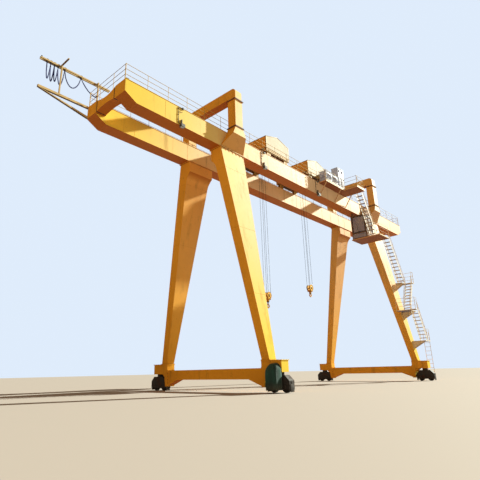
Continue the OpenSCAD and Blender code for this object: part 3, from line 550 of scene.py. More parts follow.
class Shape:
    """One piece under way, gathered in a bmesh with a finish number on each face."""

    def __init__(self, name: str) -> None:
        """Starts an empty piece.

        Args:
            name: The piece's name.
        """
        self.name = name
        self.mesh = bmesh.new()

    def dress(self, verts: Iterable[bmesh.types.BMVert], edge: float, slot: int,
              segments: int = 2) -> None:
        """Numbers the finish of new faces and rounds their edges.

        Args:
            verts: The new shape's vertices.
            edge: Width of the rounded edge, or 0 for none.
            slot: Number of the finish.
            segments: Steps across the rounded edge.
        """
        verts = list(verts)
        for face in {f for v in verts for f in v.link_faces}:
            face.material_index = slot
        if edge > 0:
            edges = list(dict.fromkeys(e for v in verts for e in v.link_edges))
            bmesh.ops.bevel(self.mesh, geom=edges, offset=edge, segments=segments,
                            affect="EDGES", profile=0.5, material=-1, clamp_overlap=True)

    def box(self, low: Point, high: Point, edge: float = 0.0, slot: int = 0,
            segments: int = 2) -> None:
        """Adds a block between two opposite corners, given in any order.

        Args:
            low: One corner.
            high: The opposite corner.
            edge: Width of its rounded edges.
            slot: Number of the finish.
            segments: Steps across a rounded edge.
        """
        a, b = Vector(map(min, low, high)), Vector(map(max, low, high))
        place = Matrix.Translation((a + b) / 2) @ Matrix.Diagonal((*(b - a), 1.0))
        made = bmesh.ops.create_cube(self.mesh, size=1.0, matrix=place)
        self.dress(made["verts"], edge, slot, segments)

    def rod(self, start: Point, end: Point, radius: float, sides: int = 12, slot: int = 0,
            far_radius: float | None = None, edge: float = 0.0) -> None:
        """Adds a round bar, cone or hexagon between two points.

        Args:
            start: Middle of one end.
            end: Middle of the other end.
            radius: Radius at the start.
            sides: Faces round the bar.
            slot: Number of the finish.
            far_radius: Radius at the end, if it differs.
            edge: Width of its rounded edges.
        """
        a, b = Vector(start), Vector(end)
        turn = (b - a).to_track_quat("Z", "Y").to_matrix().to_4x4()
        made = bmesh.ops.create_cone(
            self.mesh, cap_ends=True, segments=sides, radius1=radius,
            radius2=radius if far_radius is None else far_radius, depth=(b - a).length,
            matrix=Matrix.Translation((a + b) / 2) @ turn)
        self.dress(made["verts"], edge, slot)

    def bolt(self, place: Point, out: Point, size: float, slot: int = 0) -> None:
        """Adds a hexagon head on a washer.

        Args:
            place: Point on the plate.
            out: Direction away from the plate.
            size: Radius of the head.
            slot: Number of the finish.
        """
        p, n = Vector(place), Vector(out).normalized()
        self.rod(p, p + n * size * 0.25, size * 1.3, 10, slot)
        self.rod(p + n * size * 0.25, p + n * size * 1.1, size, 6, slot, size * 0.92)

    def bolt_ring(self, middle: Point, out: Point, radius: float, count: int, first: float,
                  size: float, slot: int = 0) -> None:
        """Adds a ring of bolts on an upright plate.

        Args:
            middle: Middle of the ring.
            out: Direction away from the plate, along X or Y.
            radius: Radius of the ring.
            count: How many bolts.
            first: Angle of the first one in degrees.
            size: Radius of a head.
            slot: Number of the finish.
        """
        x, y, z = middle
        across_x, across_y = abs(out[1]) * radius, abs(out[0]) * radius
        for k in range(count):
            a = math.radians(360 // count * k + first)
            self.bolt((x + across_x * math.cos(a), y + across_y * math.cos(a),
                       z + radius * math.sin(a)), out, size, slot)

    def slab(self, outline: Sequence[Point], depth: Point, edge: float = 0.0,
             slot: int = 0) -> None:
        """Adds a flat outline drawn out along a direction.

        Args:
            outline: Corners of the outline, in order.
            depth: How far and which way it is drawn out.
            edge: Width of its rounded edges.
            slot: Number of the finish.
        """
        base = self.mesh.faces.new([self.mesh.verts.new(Vector(p)) for p in outline])
        made = bmesh.ops.extrude_face_region(self.mesh, geom=[base])
        moved = [g for g in made["geom"] if isinstance(g, bmesh.types.BMVert)]
        bmesh.ops.translate(self.mesh, verts=moved, vec=Vector(depth))
        self.dress(moved + list(base.verts), edge, slot)

    def strip(self, start: Point, out: Point, profile: Sequence[tuple[float, float]], run: Point,
              edge: float = 0.0) -> None:
        """Adds a strip with one profile, such as a louvre.

        Args:
            start: Where the profile's zero is at the strip's first end.
            out: The profile's first direction; its second is upwards.
            profile: Corners as pairs of outwards and upwards.
            run: From the first end to the last.
            edge: Width of its rounded edges.
        """
        x, y, z = start
        self.slab([(x + out[0] * a, y + out[1] * a, z + up) for a, up in profile], run, edge)

    def turned(self, profile: Sequence[tuple[float, float]], base: Point, axis: Point,
               sides: int = 24, slot: int = 0) -> None:
        """Adds a turned part from a profile of radius and height.

        Args:
            profile: Pairs of radius and height from one pole to the other.
            base: Point on the axis at height 0.
            axis: Direction of the axis.
            sides: Steps round the axis.
            slot: Number of the finish.
        """
        place = (Matrix.Translation(Vector(base))
                 @ Vector(axis).to_track_quat("Z", "Y").to_matrix().to_4x4())
        verts = [self.mesh.verts.new(place @ Vector((r, 0, h))) for r, h in profile]
        edges = [self.mesh.edges.new(pair) for pair in zip(verts, verts[1:])]
        made = bmesh.ops.spin(self.mesh, geom=verts + edges, cent=Vector(base),
                              axis=place.to_3x3() @ Vector((0, 0, 1)), angle=2 * math.pi,
                              steps=sides, use_merge=True)
        last = [v for v in made["geom_last"] if isinstance(v, bmesh.types.BMVert)]
        grown = dict.fromkeys(last + verts)
        front = list(grown)
        while front:
            front = [w for v in front for e in v.link_edges for w in e.verts
                     if w not in grown and grown.setdefault(w) is None]
        bmesh.ops.remove_doubles(self.mesh, verts=list(grown), dist=1e-6)
        self.dress([v for v in grown if v.is_valid], 0.0, slot)

    def sweep(self, path: Sequence[Point], radius: float, sides: int = 10, slot: int = 0) -> None:
        """Adds a round tube that follows a path.

        Args:
            path: Points of its middle line.
            radius: Radius of the tube.
            sides: Faces round the tube.
            slot: Number of the finish.
        """
        points = [Vector(p) for p in path]
        before: list[bmesh.types.BMEdge] = []
        ends: list[list[bmesh.types.BMVert]] = []
        verts: list[bmesh.types.BMVert] = []
        for i, point in enumerate(points):
            ahead = points[min(i + 1, len(points) - 1)] - points[max(i - 1, 0)]
            turn = ahead.to_track_quat("Z", "Y").to_matrix().to_4x4()
            ring = bmesh.ops.create_circle(self.mesh, cap_ends=False, radius=radius, segments=sides,
                                           matrix=Matrix.Translation(point) @ turn)["verts"]
            edges = list(dict.fromkeys(e for v in ring for e in v.link_edges))
            if before:
                bmesh.ops.bridge_loops(self.mesh, edges=before + edges)
            before = edges
            verts += ring
            if i in (0, len(points) - 1):
                ends.append(ring)
        for ring in ends:
            bmesh.ops.contextual_create(self.mesh, geom=ring)
        self.dress(verts, 0.0, slot)

    def place(self, finishes: Sequence[Finish], body: Body | None = Body.CRANE,
              smooth: float = 0.6) -> bpy.types.Object:
        """Closes the piece, dresses it and lets it ride.

        Args:
            finishes: The finishes by their numbers.
            body: The body that it moves with, or None to leave it attached to no body.
            smooth: Angle in radians up to which faces shade as one.

        Returns:
            The finished object.
        """
        bmesh.ops.recalc_face_normals(self.mesh, faces=self.mesh.faces[:])
        data = bpy.data.meshes.new(self.name)
        self.mesh.to_mesh(data)
        self.mesh.free()
        data.polygons.foreach_set("use_smooth", [True] * len(data.polygons))
        data.set_sharp_from_angle(angle=smooth)
        made = bpy.data.objects.new(self.name, data)
        bpy.context.scene.collection.objects.link(made)
        for finish in finishes:
            data.materials.append(finish.material())
        if body:
            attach(made, body.value)
        log.info("%s: %d faces", self.name, len(data.polygons))
        return made


def coat(node: str, finish: Finish) -> None:
    """Gives a node of the frame its finish.

    Args:
        node: The node's name.
        finish: The finish for all its faces.
    """
    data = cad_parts[node].data
    data.materials.clear()
    data.materials.append(finish.material())


@dataclass
class Studio:
    """The camera at the photograph's place, the floor and the lights."""

    eye: Point = (-18.720, -13.161, 0.747)
    heading: float = 42.588
    tilt: float = 18.626
    roll: float = -1.267
    lens: float = 32.276
    shift: tuple[float, float] = (0.0203, -0.0284)
    floor_size: float = 400.0
    floor_colour: Colour = (0.47, 0.41, 0.365, 1.0)
    surround: float = 0.25
    glow: Colour = (1.0, 0.72, 0.46, 1.0)
    sky: Colour = (0.74, 0.84, 0.97, 1.0)

    def camera(self) -> None:
        """Sets up the camera."""
        data = bpy.data.cameras.new("camera")
        data.lens, data.sensor_width = self.lens, 36.0
        data.shift_x, data.shift_y = self.shift
        data.clip_start, data.clip_end = 0.1, 2000.0
        made = bpy.data.objects.new("camera", data)
        bpy.context.scene.collection.objects.link(made)
        yaw, up, roll = (math.radians(a) for a in (self.heading, self.tilt, self.roll))
        ahead = Vector((math.cos(yaw) * math.cos(up), math.sin(yaw) * math.cos(up), math.sin(up)))
        right = ahead.cross(Vector((0, 0, 1))).normalized()
        high = right.cross(ahead)
        level = math.cos(roll) * right + math.sin(roll) * high
        crown = math.cos(roll) * high - math.sin(roll) * right
        turn = Matrix((level, crown, -ahead)).transposed().to_4x4()
        made.matrix_world = Matrix.Translation(Vector(self.eye)) @ turn
        bpy.context.scene.camera = made

    def light(self) -> None:
        """Adds the soft key, the fill and the pale surround."""
        world = bpy.data.worlds.new("surround")
        world.use_nodes = True
        nodes, links = world.node_tree.nodes, world.node_tree.links
        back = nodes["Background"]
        back.inputs["Color"].default_value = self.glow
        back.inputs["Strength"].default_value = self.surround
        seen = nodes.new("ShaderNodeBackground")
        seen.inputs["Color"].default_value = self.sky
        mix = nodes.new("ShaderNodeMixShader")
        links.new(nodes.new("ShaderNodeLightPath").outputs["Is Camera Ray"], mix.inputs[0])
        links.new(back.outputs[0], mix.inputs[1])
        links.new(seen.outputs[0], mix.inputs[2])
        links.new(mix.outputs[0], nodes["World Output"].inputs[0])
        bpy.context.scene.world = world
        bpy.context.scene.view_settings.view_transform = "Standard"
        for name, way, power, spread, colour in (
                ("key", (-0.831, 0.282, -0.479), 8.2, 1.2, (0.96, 1.0, 0.88)),
                ("fill", (0.9, 0.35, -0.15), 0.3, 60.0, (1.0, 0.93, 0.84))):
            data = bpy.data.lights.new(name, "SUN")
            data.energy, data.angle, data.color = power, math.radians(spread), colour
            made = bpy.data.objects.new(name, data)
            made.rotation_mode = "QUATERNION"
            made.rotation_quaternion = Vector(way).to_track_quat("-Z", "Y")
            bpy.context.scene.collection.objects.link(made)

    def floor(self) -> None:
        """Lays the pale floor."""
        mesh = bmesh.new()
        bmesh.ops.create_grid(mesh, x_segments=1, y_segments=1, size=self.floor_size / 2)
        bmesh.ops.translate(mesh, verts=mesh.verts[:], vec=(0, 0, -0.004))
        data = bpy.data.meshes.new("floor")
        mesh.to_mesh(data)
        mesh.free()
        made = bpy.data.objects.new("floor", data)
        bpy.context.scene.collection.objects.link(made)
        t = Tree("pale_floor")
        t.shader.inputs["Base Color"].default_value = self.floor_colour
        t.shader.inputs["Roughness"].default_value = 0.9
        data.materials.append(t.material)


@dataclass(frozen=True)
class Plan:
    """The crane's main places in metres, as in the source of its solids."""

    left_x: float = -5.625
    right_x: float = 8.575
    end_l: float = -11.425
    end_r: float = 13.525
    girder_z: float = 10.320
    top_z: float = 11.170
    web_in: float = 0.720
    web_out: float = 1.360
    web_lip: float = 0.014
    leg_top: float = 10.292
    leg_foot: float = 1.110
    foot_out: float = 3.090
    leg_top_w: float = 1.520
    leg_foot_w: float = 0.390
    walk_l: float = 1.885
    walk_r: float = 4.000
    walk_out: float = 1.860
    wide_r: float = 5.000
    wide_out: float = 2.720

    def leg_out(self, z: float) -> float:
        """Gives the outer face of a leg across Y at a height."""
        share = (self.leg_top - z) / (self.leg_top - self.leg_foot)
        return self.web_out + (self.foot_out - self.web_out) * share

    def leg_half(self, z: float) -> float:
        """Gives half the width of a leg along X at a height."""
        share = (z - self.leg_foot) / (self.leg_top - self.leg_foot)
        return (self.leg_foot_w + (self.leg_top_w - self.leg_foot_w) * share) / 2


PLAN = Plan()


def end_tag(x: float) -> str:
    """Names the end of the crane that a place along X is at."""
    return "left" if x < 0 else "right"


def around(low: Point, high: Point, inset: float, pitch: float) -> list[tuple[float, float]]:
    """Spreads places along the four sides of a rectangle.

    Args:
        low: Lowest corner.
        high: Highest corner.
        inset: Distance of the places from the sides.
        pitch: Distance wanted between two places.

    Returns:
        The places.
    """
    x0, y0, x1, y1 = low[0] + inset, low[1] + inset, high[0] - inset, high[1] - inset
    wide = steps(x0, x1, max(2, round((x1 - x0) / pitch) + 1))
    deep = steps(y0, y1, max(3, round((y1 - y0) / pitch) + 1))[1:-1]
    return [(x, y) for x in wide for y in (y0, y1)] + [(x, y) for y in deep for x in (x0, x1)]


@dataclass
class FestoonCable:
    """The trolley's supply cable, hung in loops under its carriers."""

    post_x: float = -11.095
    carriers: tuple[float, ...] = (-11.815, -12.525, -12.805, -12.955, -13.105, -13.255)
    lows: tuple[float, ...] = (11.780, 11.650, 11.700, 11.630, 11.690)
    line_y: float = 1.435
    start_z: float = 11.8627
    hang_z: float = 12.425
    diameter: float = 0.044

    def route(self) -> list[Vector]:
        """Gives the cable's points from its clamp to its last carrier."""
        first = self.carriers[0]
        points = [Vector((self.post_x + (first - self.post_x) * i / 6, self.line_y,
                          self.start_z + (self.hang_z - self.start_z) * (i / 6) ** 2))
                  for i in range(7)]
        for a, b, low in zip(self.carriers, self.carriers[1:], self.lows):
            for i in range(1, 11):
                drop = (self.hang_z - low) * max(0.0, math.sin(math.pi * i / 10)) ** 0.6
                points.append(Vector((a + (b - a) * i / 10, self.line_y, self.hang_z - drop)))
        return points

    def build(self) -> None:
        path = self.route()
        shape = Shape("festoon_supply_cable")
        shape.sweep(path, self.diameter / 2 - 0.0005, sides=14)
        cable = shape.place([BLUE], smooth=1.2)
        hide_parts("festoon_cable")


@dataclass
class GirderDress:
    """What the girders carry: rail clips, weld seams and lamp conduits."""

    clip_pitch: float = 0.62
    seam_pitch: float = 3.1
    seam_r: float = 0.005
    rail_y: float = 1.04
    rail_half: float = 0.030
    lamp_x: tuple[float, ...] = (-8.710, -3.310, 1.640)

    def clips(self, side: Side) -> None:
        """Clamps the trolley rail to the girder.

        Args:
            side: The girder's side.
        """
        shape = Shape(f"rail_clips_{side.name.lower()}")
        y0 = side.value * self.rail_y
        for x in steps(PLAN.end_l + 0.4, PLAN.end_r - 0.4, round(24.1 / self.clip_pitch)):
            for d in (-1, 1):
                y1 = y0 + d * self.rail_half
                shape.slab([(x - 0.03, y1, PLAN.top_z + 0.030),
                            (x - 0.03, y1 + d * 0.052, PLAN.top_z), (x - 0.03, y1, PLAN.top_z)],
                           (0.06, 0, 0), 0.002)
                shape.bolt((x, y1 + d * 0.030, PLAN.top_z + 0.010), (0, 0, 1), 0.011, 1)
        shape.place([DARK, BOLT])

    def seams(self, side: Side) -> None:
        """Lays the upright weld beads of both webs and the beads along the plates.

        Args:
            side: The girder's side.
        """
        shape = Shape(f"web_seams_{side.name.lower()}")
        lip = PLAN.web_lip
        for face in (PLAN.web_out - lip, PLAN.web_in + lip):
            y = side.value * face
            for x in steps(PLAN.end_l + 1.9, PLAN.end_r - 1.9, round(21.1 / self.seam_pitch) + 1):
                shape.rod((x, y, PLAN.girder_z + 0.013), (x, y, PLAN.top_z - 0.013), self.seam_r, 8)
            for z in (PLAN.top_z - 0.012, PLAN.girder_z + 0.012):
                inset = 0.02 if z > 11 else 0.53
                shape.rod((PLAN.end_l + inset, y, z), (PLAN.end_r - inset, y, z), self.seam_r, 8)
        shape.place([YELLOW], smooth=1.0)

    def lamp_conduits(self) -> None:
        """Runs each lamp's conduit down the web on three saddles, with a box on top."""
        shape = Shape("lamp_conduits")
        y = -(PLAN.web_out - PLAN.web_lip)
        pipe_y, low, high = y - 0.022, PLAN.girder_z, PLAN.top_z
        for x in self.lamp_x:
            left = x - 0.16
            shape.sweep([(left, pipe_y, low + 0.10), (left, pipe_y, high - 0.06),
                         (left + 0.03, pipe_y, high - 0.03), (left + 0.22, pipe_y, high - 0.03)],
                        0.011, 10)
            shape.sweep([(left, pipe_y, high - 0.24), (left + 0.17, y - 0.030, high - 0.24),
                         (left + 0.20, y - 0.032, high - 0.20)], 0.009, 10)
            shape.sweep([(left, pipe_y, low + 0.11), (left + 0.01, pipe_y, low + 0.07),
                         (left + 0.12, pipe_y, low + 0.05)], 0.010, 10)
            shape.box((left + 0.19, y - 0.052, high - 0.075), (left + 0.28, y, high + 0.012),
                      0.006, 1)
            for z in (low + 0.22, low + 0.45, high - 0.13):
                shape.box((left - 0.026, y - 0.034, z), (left + 0.026, y, z + 0.022), 0.003, 2)
                shape.bolt((left - 0.020, y - 0.034, z + 0.011), (0, -1, 0), 0.005, 2)
        shape.place([DARK, LAMP_GREY, BOLT])

    def build(self) -> None:
        """Dresses both girders."""
        for side in Side:
            self.clips(side)
            self.seams(side)
        self.lamp_conduits()


@dataclass
class TieDress:
    """Bolted joint plates where an end tie meets the stubs on the girders, in dark steel as painted
    shadow of the joint's gap.
    """

    x: float
    way: int
    joint_y: float = 0.620
    half: float = 0.020
    depth: float = 0.420
    low: float = 10.62
    thick: float = 0.005

    def build(self) -> None:
        """Lays a plate on the tie's outer, upper and lower faces and bolts it down; the dark plates
        are painted shadow.
        """
        tag = end_tag(self.x)
        plates = Shape(f"tie_joint_plates_{tag}")
        inner = self.x - self.way * self.depth
        low, high = self.low + 0.018, PLAN.top_z - 0.034
        for side in Side:
            y = side.value * self.joint_y
            for face, out in ((self.x, self.way), (inner, -self.way)):
                plates.box((face, y - self.half, low),
                           (face + out * self.thick, y + self.half, high), 0.001)
                for z in steps(low + 0.03, high - 0.03, 6):
                    for dy in (-0.010, 0.010):
                        plates.bolt((face + out * self.thick, y + dy, z), (out, 0, 0), 0.007, 1)
            for z0, z1 in ((low - self.thick, low + 0.006), (high - 0.006, high + self.thick)):
                plates.box((self.x, y - self.half, z0), (inner, y + self.half, z1), 0.001)
        # Dark steel plates: painted shadow of the joint's gap.
        plates.place([DARK, BOLT])


@dataclass
class LegDress:
    """Bolts of one leg's two joints, and its weld seams."""

    x: float
    side: Side
    lip: float = 0.042
    foot_lip: float = 0.024
    rib_pitch: float = 0.2393
    taper_top: float = 9.352
    taper_height: float = 8.242
    depth_top: float = 0.530
    depth_foot: float = 0.360
    seam_heights: tuple[float, ...] = (9.25, 6.4, 3.6)

    def build(self) -> None:
        """Adds the bolts of both joints and the weld seams."""
        s = self.side.value
        tag = f"{end_tag(self.x)}_{self.side.name.lower()}"
        bolts = Shape(f"leg_bolts_{tag}")
        half = PLAN.leg_top_w / 2 + self.lip
        low = (self.x - half, PLAN.web_in - self.lip)
        high = (self.x + half, PLAN.web_out + self.lip)
        for x, y in around(low, high, self.lip / 2, 0.115):
            if y < PLAN.web_out or abs(((x - self.x) / self.rib_pitch) % 1 - 0.5) < 0.36:
                bolts.bolt((x, s * y, PLAN.leg_top), (0, 0, -1), 0.013)
        low = (self.x - PLAN.leg_foot_w / 2 - self.foot_lip,
               PLAN.foot_out - self.depth_foot - self.foot_lip)
        high = (self.x + PLAN.leg_foot_w / 2 + self.foot_lip, PLAN.foot_out + self.foot_lip)
        for x, y in around(low, high, self.foot_lip / 2, 0.09):
            bolts.bolt((x, s * y, PLAN.leg_foot + 0.025), (0, 0, 1), 0.009)
        bolts.place([BOLT])
        seams = Shape(f"leg_seams_{tag}")
        for z in self.seam_heights:
            out, wide = PLAN.leg_out(z), PLAN.leg_half(z)
            loss = (self.depth_top - self.depth_foot) * (self.taper_top - z)
            deep = self.depth_top - loss / self.taper_height
            corners = [(self.x + a * wide, s * b, z) for a, b in
                       ((-1, out), (1, out), (1, out - deep), (-1, out - deep))]
            for p, q in zip(corners, corners[1:] + corners[:1]):
                seams.rod(p, q, 0.005, 8)
        seams.place([YELLOW], smooth=1.0)


@dataclass
class GroundDress:
    """Joint bolts of one ground beam, its feet's ribs and the travel bogies' details."""

    x: float
    foot_in: float = 2.705
    foot_half: float = 0.234
    foot_end: float = 3.649
    foot_top: float = 1.110
    joint_half: float = 0.204
    joint_low: float = 0.176
    joint_high: float = 0.874
    joint_thick: float = 0.025
    wheel_pitch: float = 0.540
    bogie_end: float = 0.500
    wheel_z: float = 0.175
    pivot_z: float = 0.640
    bogie_y: float = 3.375

    def joints(self, tag: str) -> None:
        """Bolts the deep beam ends to the feet and stiffens the raised noses.

        Args:
            tag: The crane's end, for the pieces' names.
        """
        shape = Shape(f"ground_joint_bolts_{tag}")
        ribs = Shape(f"foot_ribs_{tag}")
        joint = ((self.x - self.joint_half, self.joint_low),
                 (self.x + self.joint_half, self.joint_high))
        for side in Side:
            s = side.value
            for x, z in around(*joint, 0.017, 0.13):
                shape.bolt((x, s * (self.foot_in - self.joint_thick), z), (0, -s, 0), 0.011)
            low = (self.x - self.foot_half, self.foot_in)
            high = (self.x + self.foot_half, self.foot_end)
            for x, y in around(low, high, 0.012, 0.15):
                shape.bolt((x, s * y, self.foot_top), (0, 0, 1), 0.009)
            for x in (self.x - 0.150, self.x, self.x + 0.150):
                ribs.slab([(x - 0.006, s * 2.871, 0.690), (x - 0.006, s * 3.10, 0.690),
                           (x - 0.006, s * 2.871, 0.52)], (0.012, 0, 0), 0.001)
        shape.place([BOLT])
        ribs.place([YELLOW])

    def bogie(self, side: Side, tag: str) -> None:
        """Adds bearing caps, pivot caps, rail sweepers and a buffer to one bogie.

        Args:
            side: The bogie's side.
            tag: The crane's end, for the piece's name.
        """
        s = side.value
        caps = Shape(f"bogie_caps_{tag}_{side.name.lower()}")
        for d in (-1, 1):
            y = s * self.bogie_y + d * self.wheel_pitch / 2
            for e in (-1, 1):
                face = self.x + e * 0.150
                caps.turned([(0.040, 0.0), (0.092, 0.0), (0.092, 0.008), (0.084, 0.014),
                             (0.052, 0.014), (0.048, 0.019), (0.040, 0.019)],
                            (face, y, self.wheel_z), (e, 0, 0), 28)
                caps.bolt_ring((face + e * 0.014, y, self.wheel_z), (e, 0, 0), 0.069, 6, 30,
                               0.008, 1)
                caps.rod((face + e * 0.015, y, self.wheel_z), (face + e * 0.020, y, self.wheel_z),
                         0.016, 12, 1)
        for e in (-1, 1):
            caps.turned([(0.0, 0.0), (0.070, 0.0), (0.070, 0.010), (0.060, 0.018), (0.0, 0.018)],
                        (self.x + e * 0.110, s * self.bogie_y, self.pivot_z), (e, 0, 0), 24)
            caps.bolt_ring((self.x + e * 0.128, s * self.bogie_y, self.pivot_z), (e, 0, 0), 0.045,
                           4, 45, 0.007, 1)
            end = s * self.bogie_y + e * self.bogie_end
            caps.box((self.x - 0.11, end, 0.030), (self.x + 0.11, end + e * 0.012, 0.300), 0.003)
            for x in (self.x - 0.08, self.x + 0.08):
                for z in (0.15, 0.27):
                    caps.bolt((x, end + e * 0.012, z), (0, e, 0), 0.008, 1)
        out = s * (self.bogie_y + self.bogie_end)
        caps.turned([(0.0, 0.0), (0.060, 0.0), (0.060, 0.010), (0.034, 0.014), (0.034, 0.018),
                     (0.0, 0.018)], (self.x, out, 0.345), (0, s, 0), 24)
        caps.place([DARK, BOLT])

    def build(self) -> None:
        """Dresses the beam and its two bogies."""
        tag = end_tag(self.x)
        self.joints(tag)
        for side in Side:
            self.bogie(side, tag)


@dataclass
class SaddleDress:
    """Flange bolts of one saddle portal, and dark strips on the flanges' edges as painted shadow.
    """

    x: float
    post_half: float = 0.245
    rim: float = 0.045
    post_in: float = 1.360
    post_out: float = 1.830
    bolt_faces: tuple[tuple[float, int], ...] = ((11.390, 1), (11.340, -1), (12.855, 1),
                                                 (12.805, -1))
    shadow_strip_feet: tuple[float, ...] = (11.341, 12.806)

    def build(self) -> None:
        """Bolts the flanges and edges them with dark strips as painted shadow under their lips."""
        tag = end_tag(self.x)
        bolts = Shape(f"saddle_bolts_{tag}")
        rims = Shape(f"saddle_rims_{tag}")
        for side in Side:
            s = side.value
            low = (self.x - self.post_half - self.rim, self.post_in - self.rim)
            high = (self.x + self.post_half + self.rim, self.post_out + self.rim)
            for x, y in around(low, high, self.rim / 2, 0.095):
                for z, way in self.bolt_faces:
                    bolts.bolt((x, s * y, z), (0, 0, way), 0.011)
            # Painted shadow: dark strips round each flange's edge.
            for z in self.shadow_strip_feet:
                x0, x1 = low[0] - 0.002, high[0] + 0.002
                y0, y1 = sorted((s * (low[1] - 0.002), s * (high[1] + 0.002)))
                for a, b in (((x0, y0), (x1, y0 + 0.004)), ((x0, y1 - 0.004), (x1, y1)),
                             ((x0, y0), (x0 + 0.004, y1)), ((x1 - 0.004, y0), (x1, y1))):
                    rims.box((*a, z), (*b, z + 0.048))
        bolts.place([BOLT])
        rims.place([DARK])


@dataclass
class Railing:
    """Feet and knuckles of one straight run of railing."""

    start: tuple[float, float]
    end: tuple[float, float]
    z: float
    name: str
    height: float = 0.700
    bars: int = 3
    bar_r: float = 0.009
    pitch: float = 1.0

    def build(self) -> None:
        """Sets a foot collar and the bars' knuckles at every post."""
        a, b = Vector((*self.start, self.z)), Vector((*self.end, self.z))
        count = max(1, round((b - a).length / self.pitch))
        way = (b - a).normalized()
        cross = Vector((-way.y, way.x, 0))
        shape = Shape(f"railing_fittings_{self.name}")
        for i in range(count + 1):
            p = a + (b - a) * i / count
            shape.turned([(self.bar_r, 0.0), (0.021, 0.0), (0.021, 0.005), (0.013, 0.007),
                          (0.011, 0.018), (self.bar_r, 0.018)], p, (0, 0, 1), 12)
            for k in range(1, self.bars + 1):
                h = self.height * k / self.bars - self.bar_r
                q = p + Vector((0, 0, h))
                shape.rod(q - way * 0.015, q + way * 0.015, 0.0125, 10, 0, edge=0.002)
                shape.rod(q - Vector((0, 0, 0.016)), q + Vector((0, 0, 0.010)), 0.0125, 10, 0)
                shape.bolt(q + cross * 0.0125, cross, 0.004, 1)
        shape.place([RAIL, BOLT])


@dataclass
class Grating:
    """Bar grating laid on a plate."""

    low: tuple[float, float]
    high: tuple[float, float]
    z: float
    name: str
    pitch: float = 0.040
    bar: float = 0.004
    lift: float = 0.006

    def build(self) -> None:
        """Lays bars along X and thinner rods across them."""
        shape = Shape(f"grating_{self.name}")
        (x0, y0), (x1, y1) = self.low, self.high
        for y in steps(y0 + 0.01, y1 - 0.01, max(2, round((y1 - y0) / self.pitch))):
            shape.box((x0 + 0.008, y - self.bar / 2, self.z),
                      (x1 - 0.008, y + self.bar / 2, self.z + self.lift))
        for x in steps(x0 + 0.01, x1 - 0.01, max(2, round((x1 - x0) / 0.1))):
            shape.box((x - 0.003, y0 + 0.008, self.z), (x + 0.003, y1 - 0.008, self.z + 0.004))
        shape.place([GRATE])


@dataclass
class Flight:
    """Treads, nosings and bolts of one flight of stairs along X."""

    head: tuple[float, float]
    foot: tuple[float, float]
    y: float
    name: str
    width: float = 0.400
    stringer: float = 0.014
    depth: float = 0.130
    pitch: float = 0.210

    def build(self) -> None:
        """Bolts every tread and lays its bars and its ribbed nosing."""
        (x0, z0), (x1, z1) = self.head, self.foot
        count = round((z0 - z1) / self.pitch)
        way = 1 if x1 > x0 else -1
        treads = Shape(f"tread_bars_{self.name}")
        bolts = Shape(f"tread_bolts_{self.name}")
        inner = self.y + self.stringer + 0.004, self.y + self.width - self.stringer - 0.004
        for i in range(1, count):
            x, z = x0 + (x1 - x0) * i / count, z0 + (z1 - z0) * i / count - 0.030
            back = x - way * self.depth
            for k in range(5):
                mid = x + (back - x) * (0.16 + 0.19 * k)
                treads.box((mid - 0.002, -inner[1], z), (mid + 0.002, -inner[0], z + 0.005))
            treads.box((x - way * 0.001, -inner[1], z),
                       (x - way * 0.013, -inner[0], z + 0.007), 0.002)
            for face, out in ((self.y, 1), (self.y + self.width, -1)):
                for share in (0.3, 0.75):
                    bolts.bolt((x + (back - x) * share, -face, z - 0.015), (0, out, 0), 0.006)
        treads.place([GRATE])
        bolts.place([BOLT])


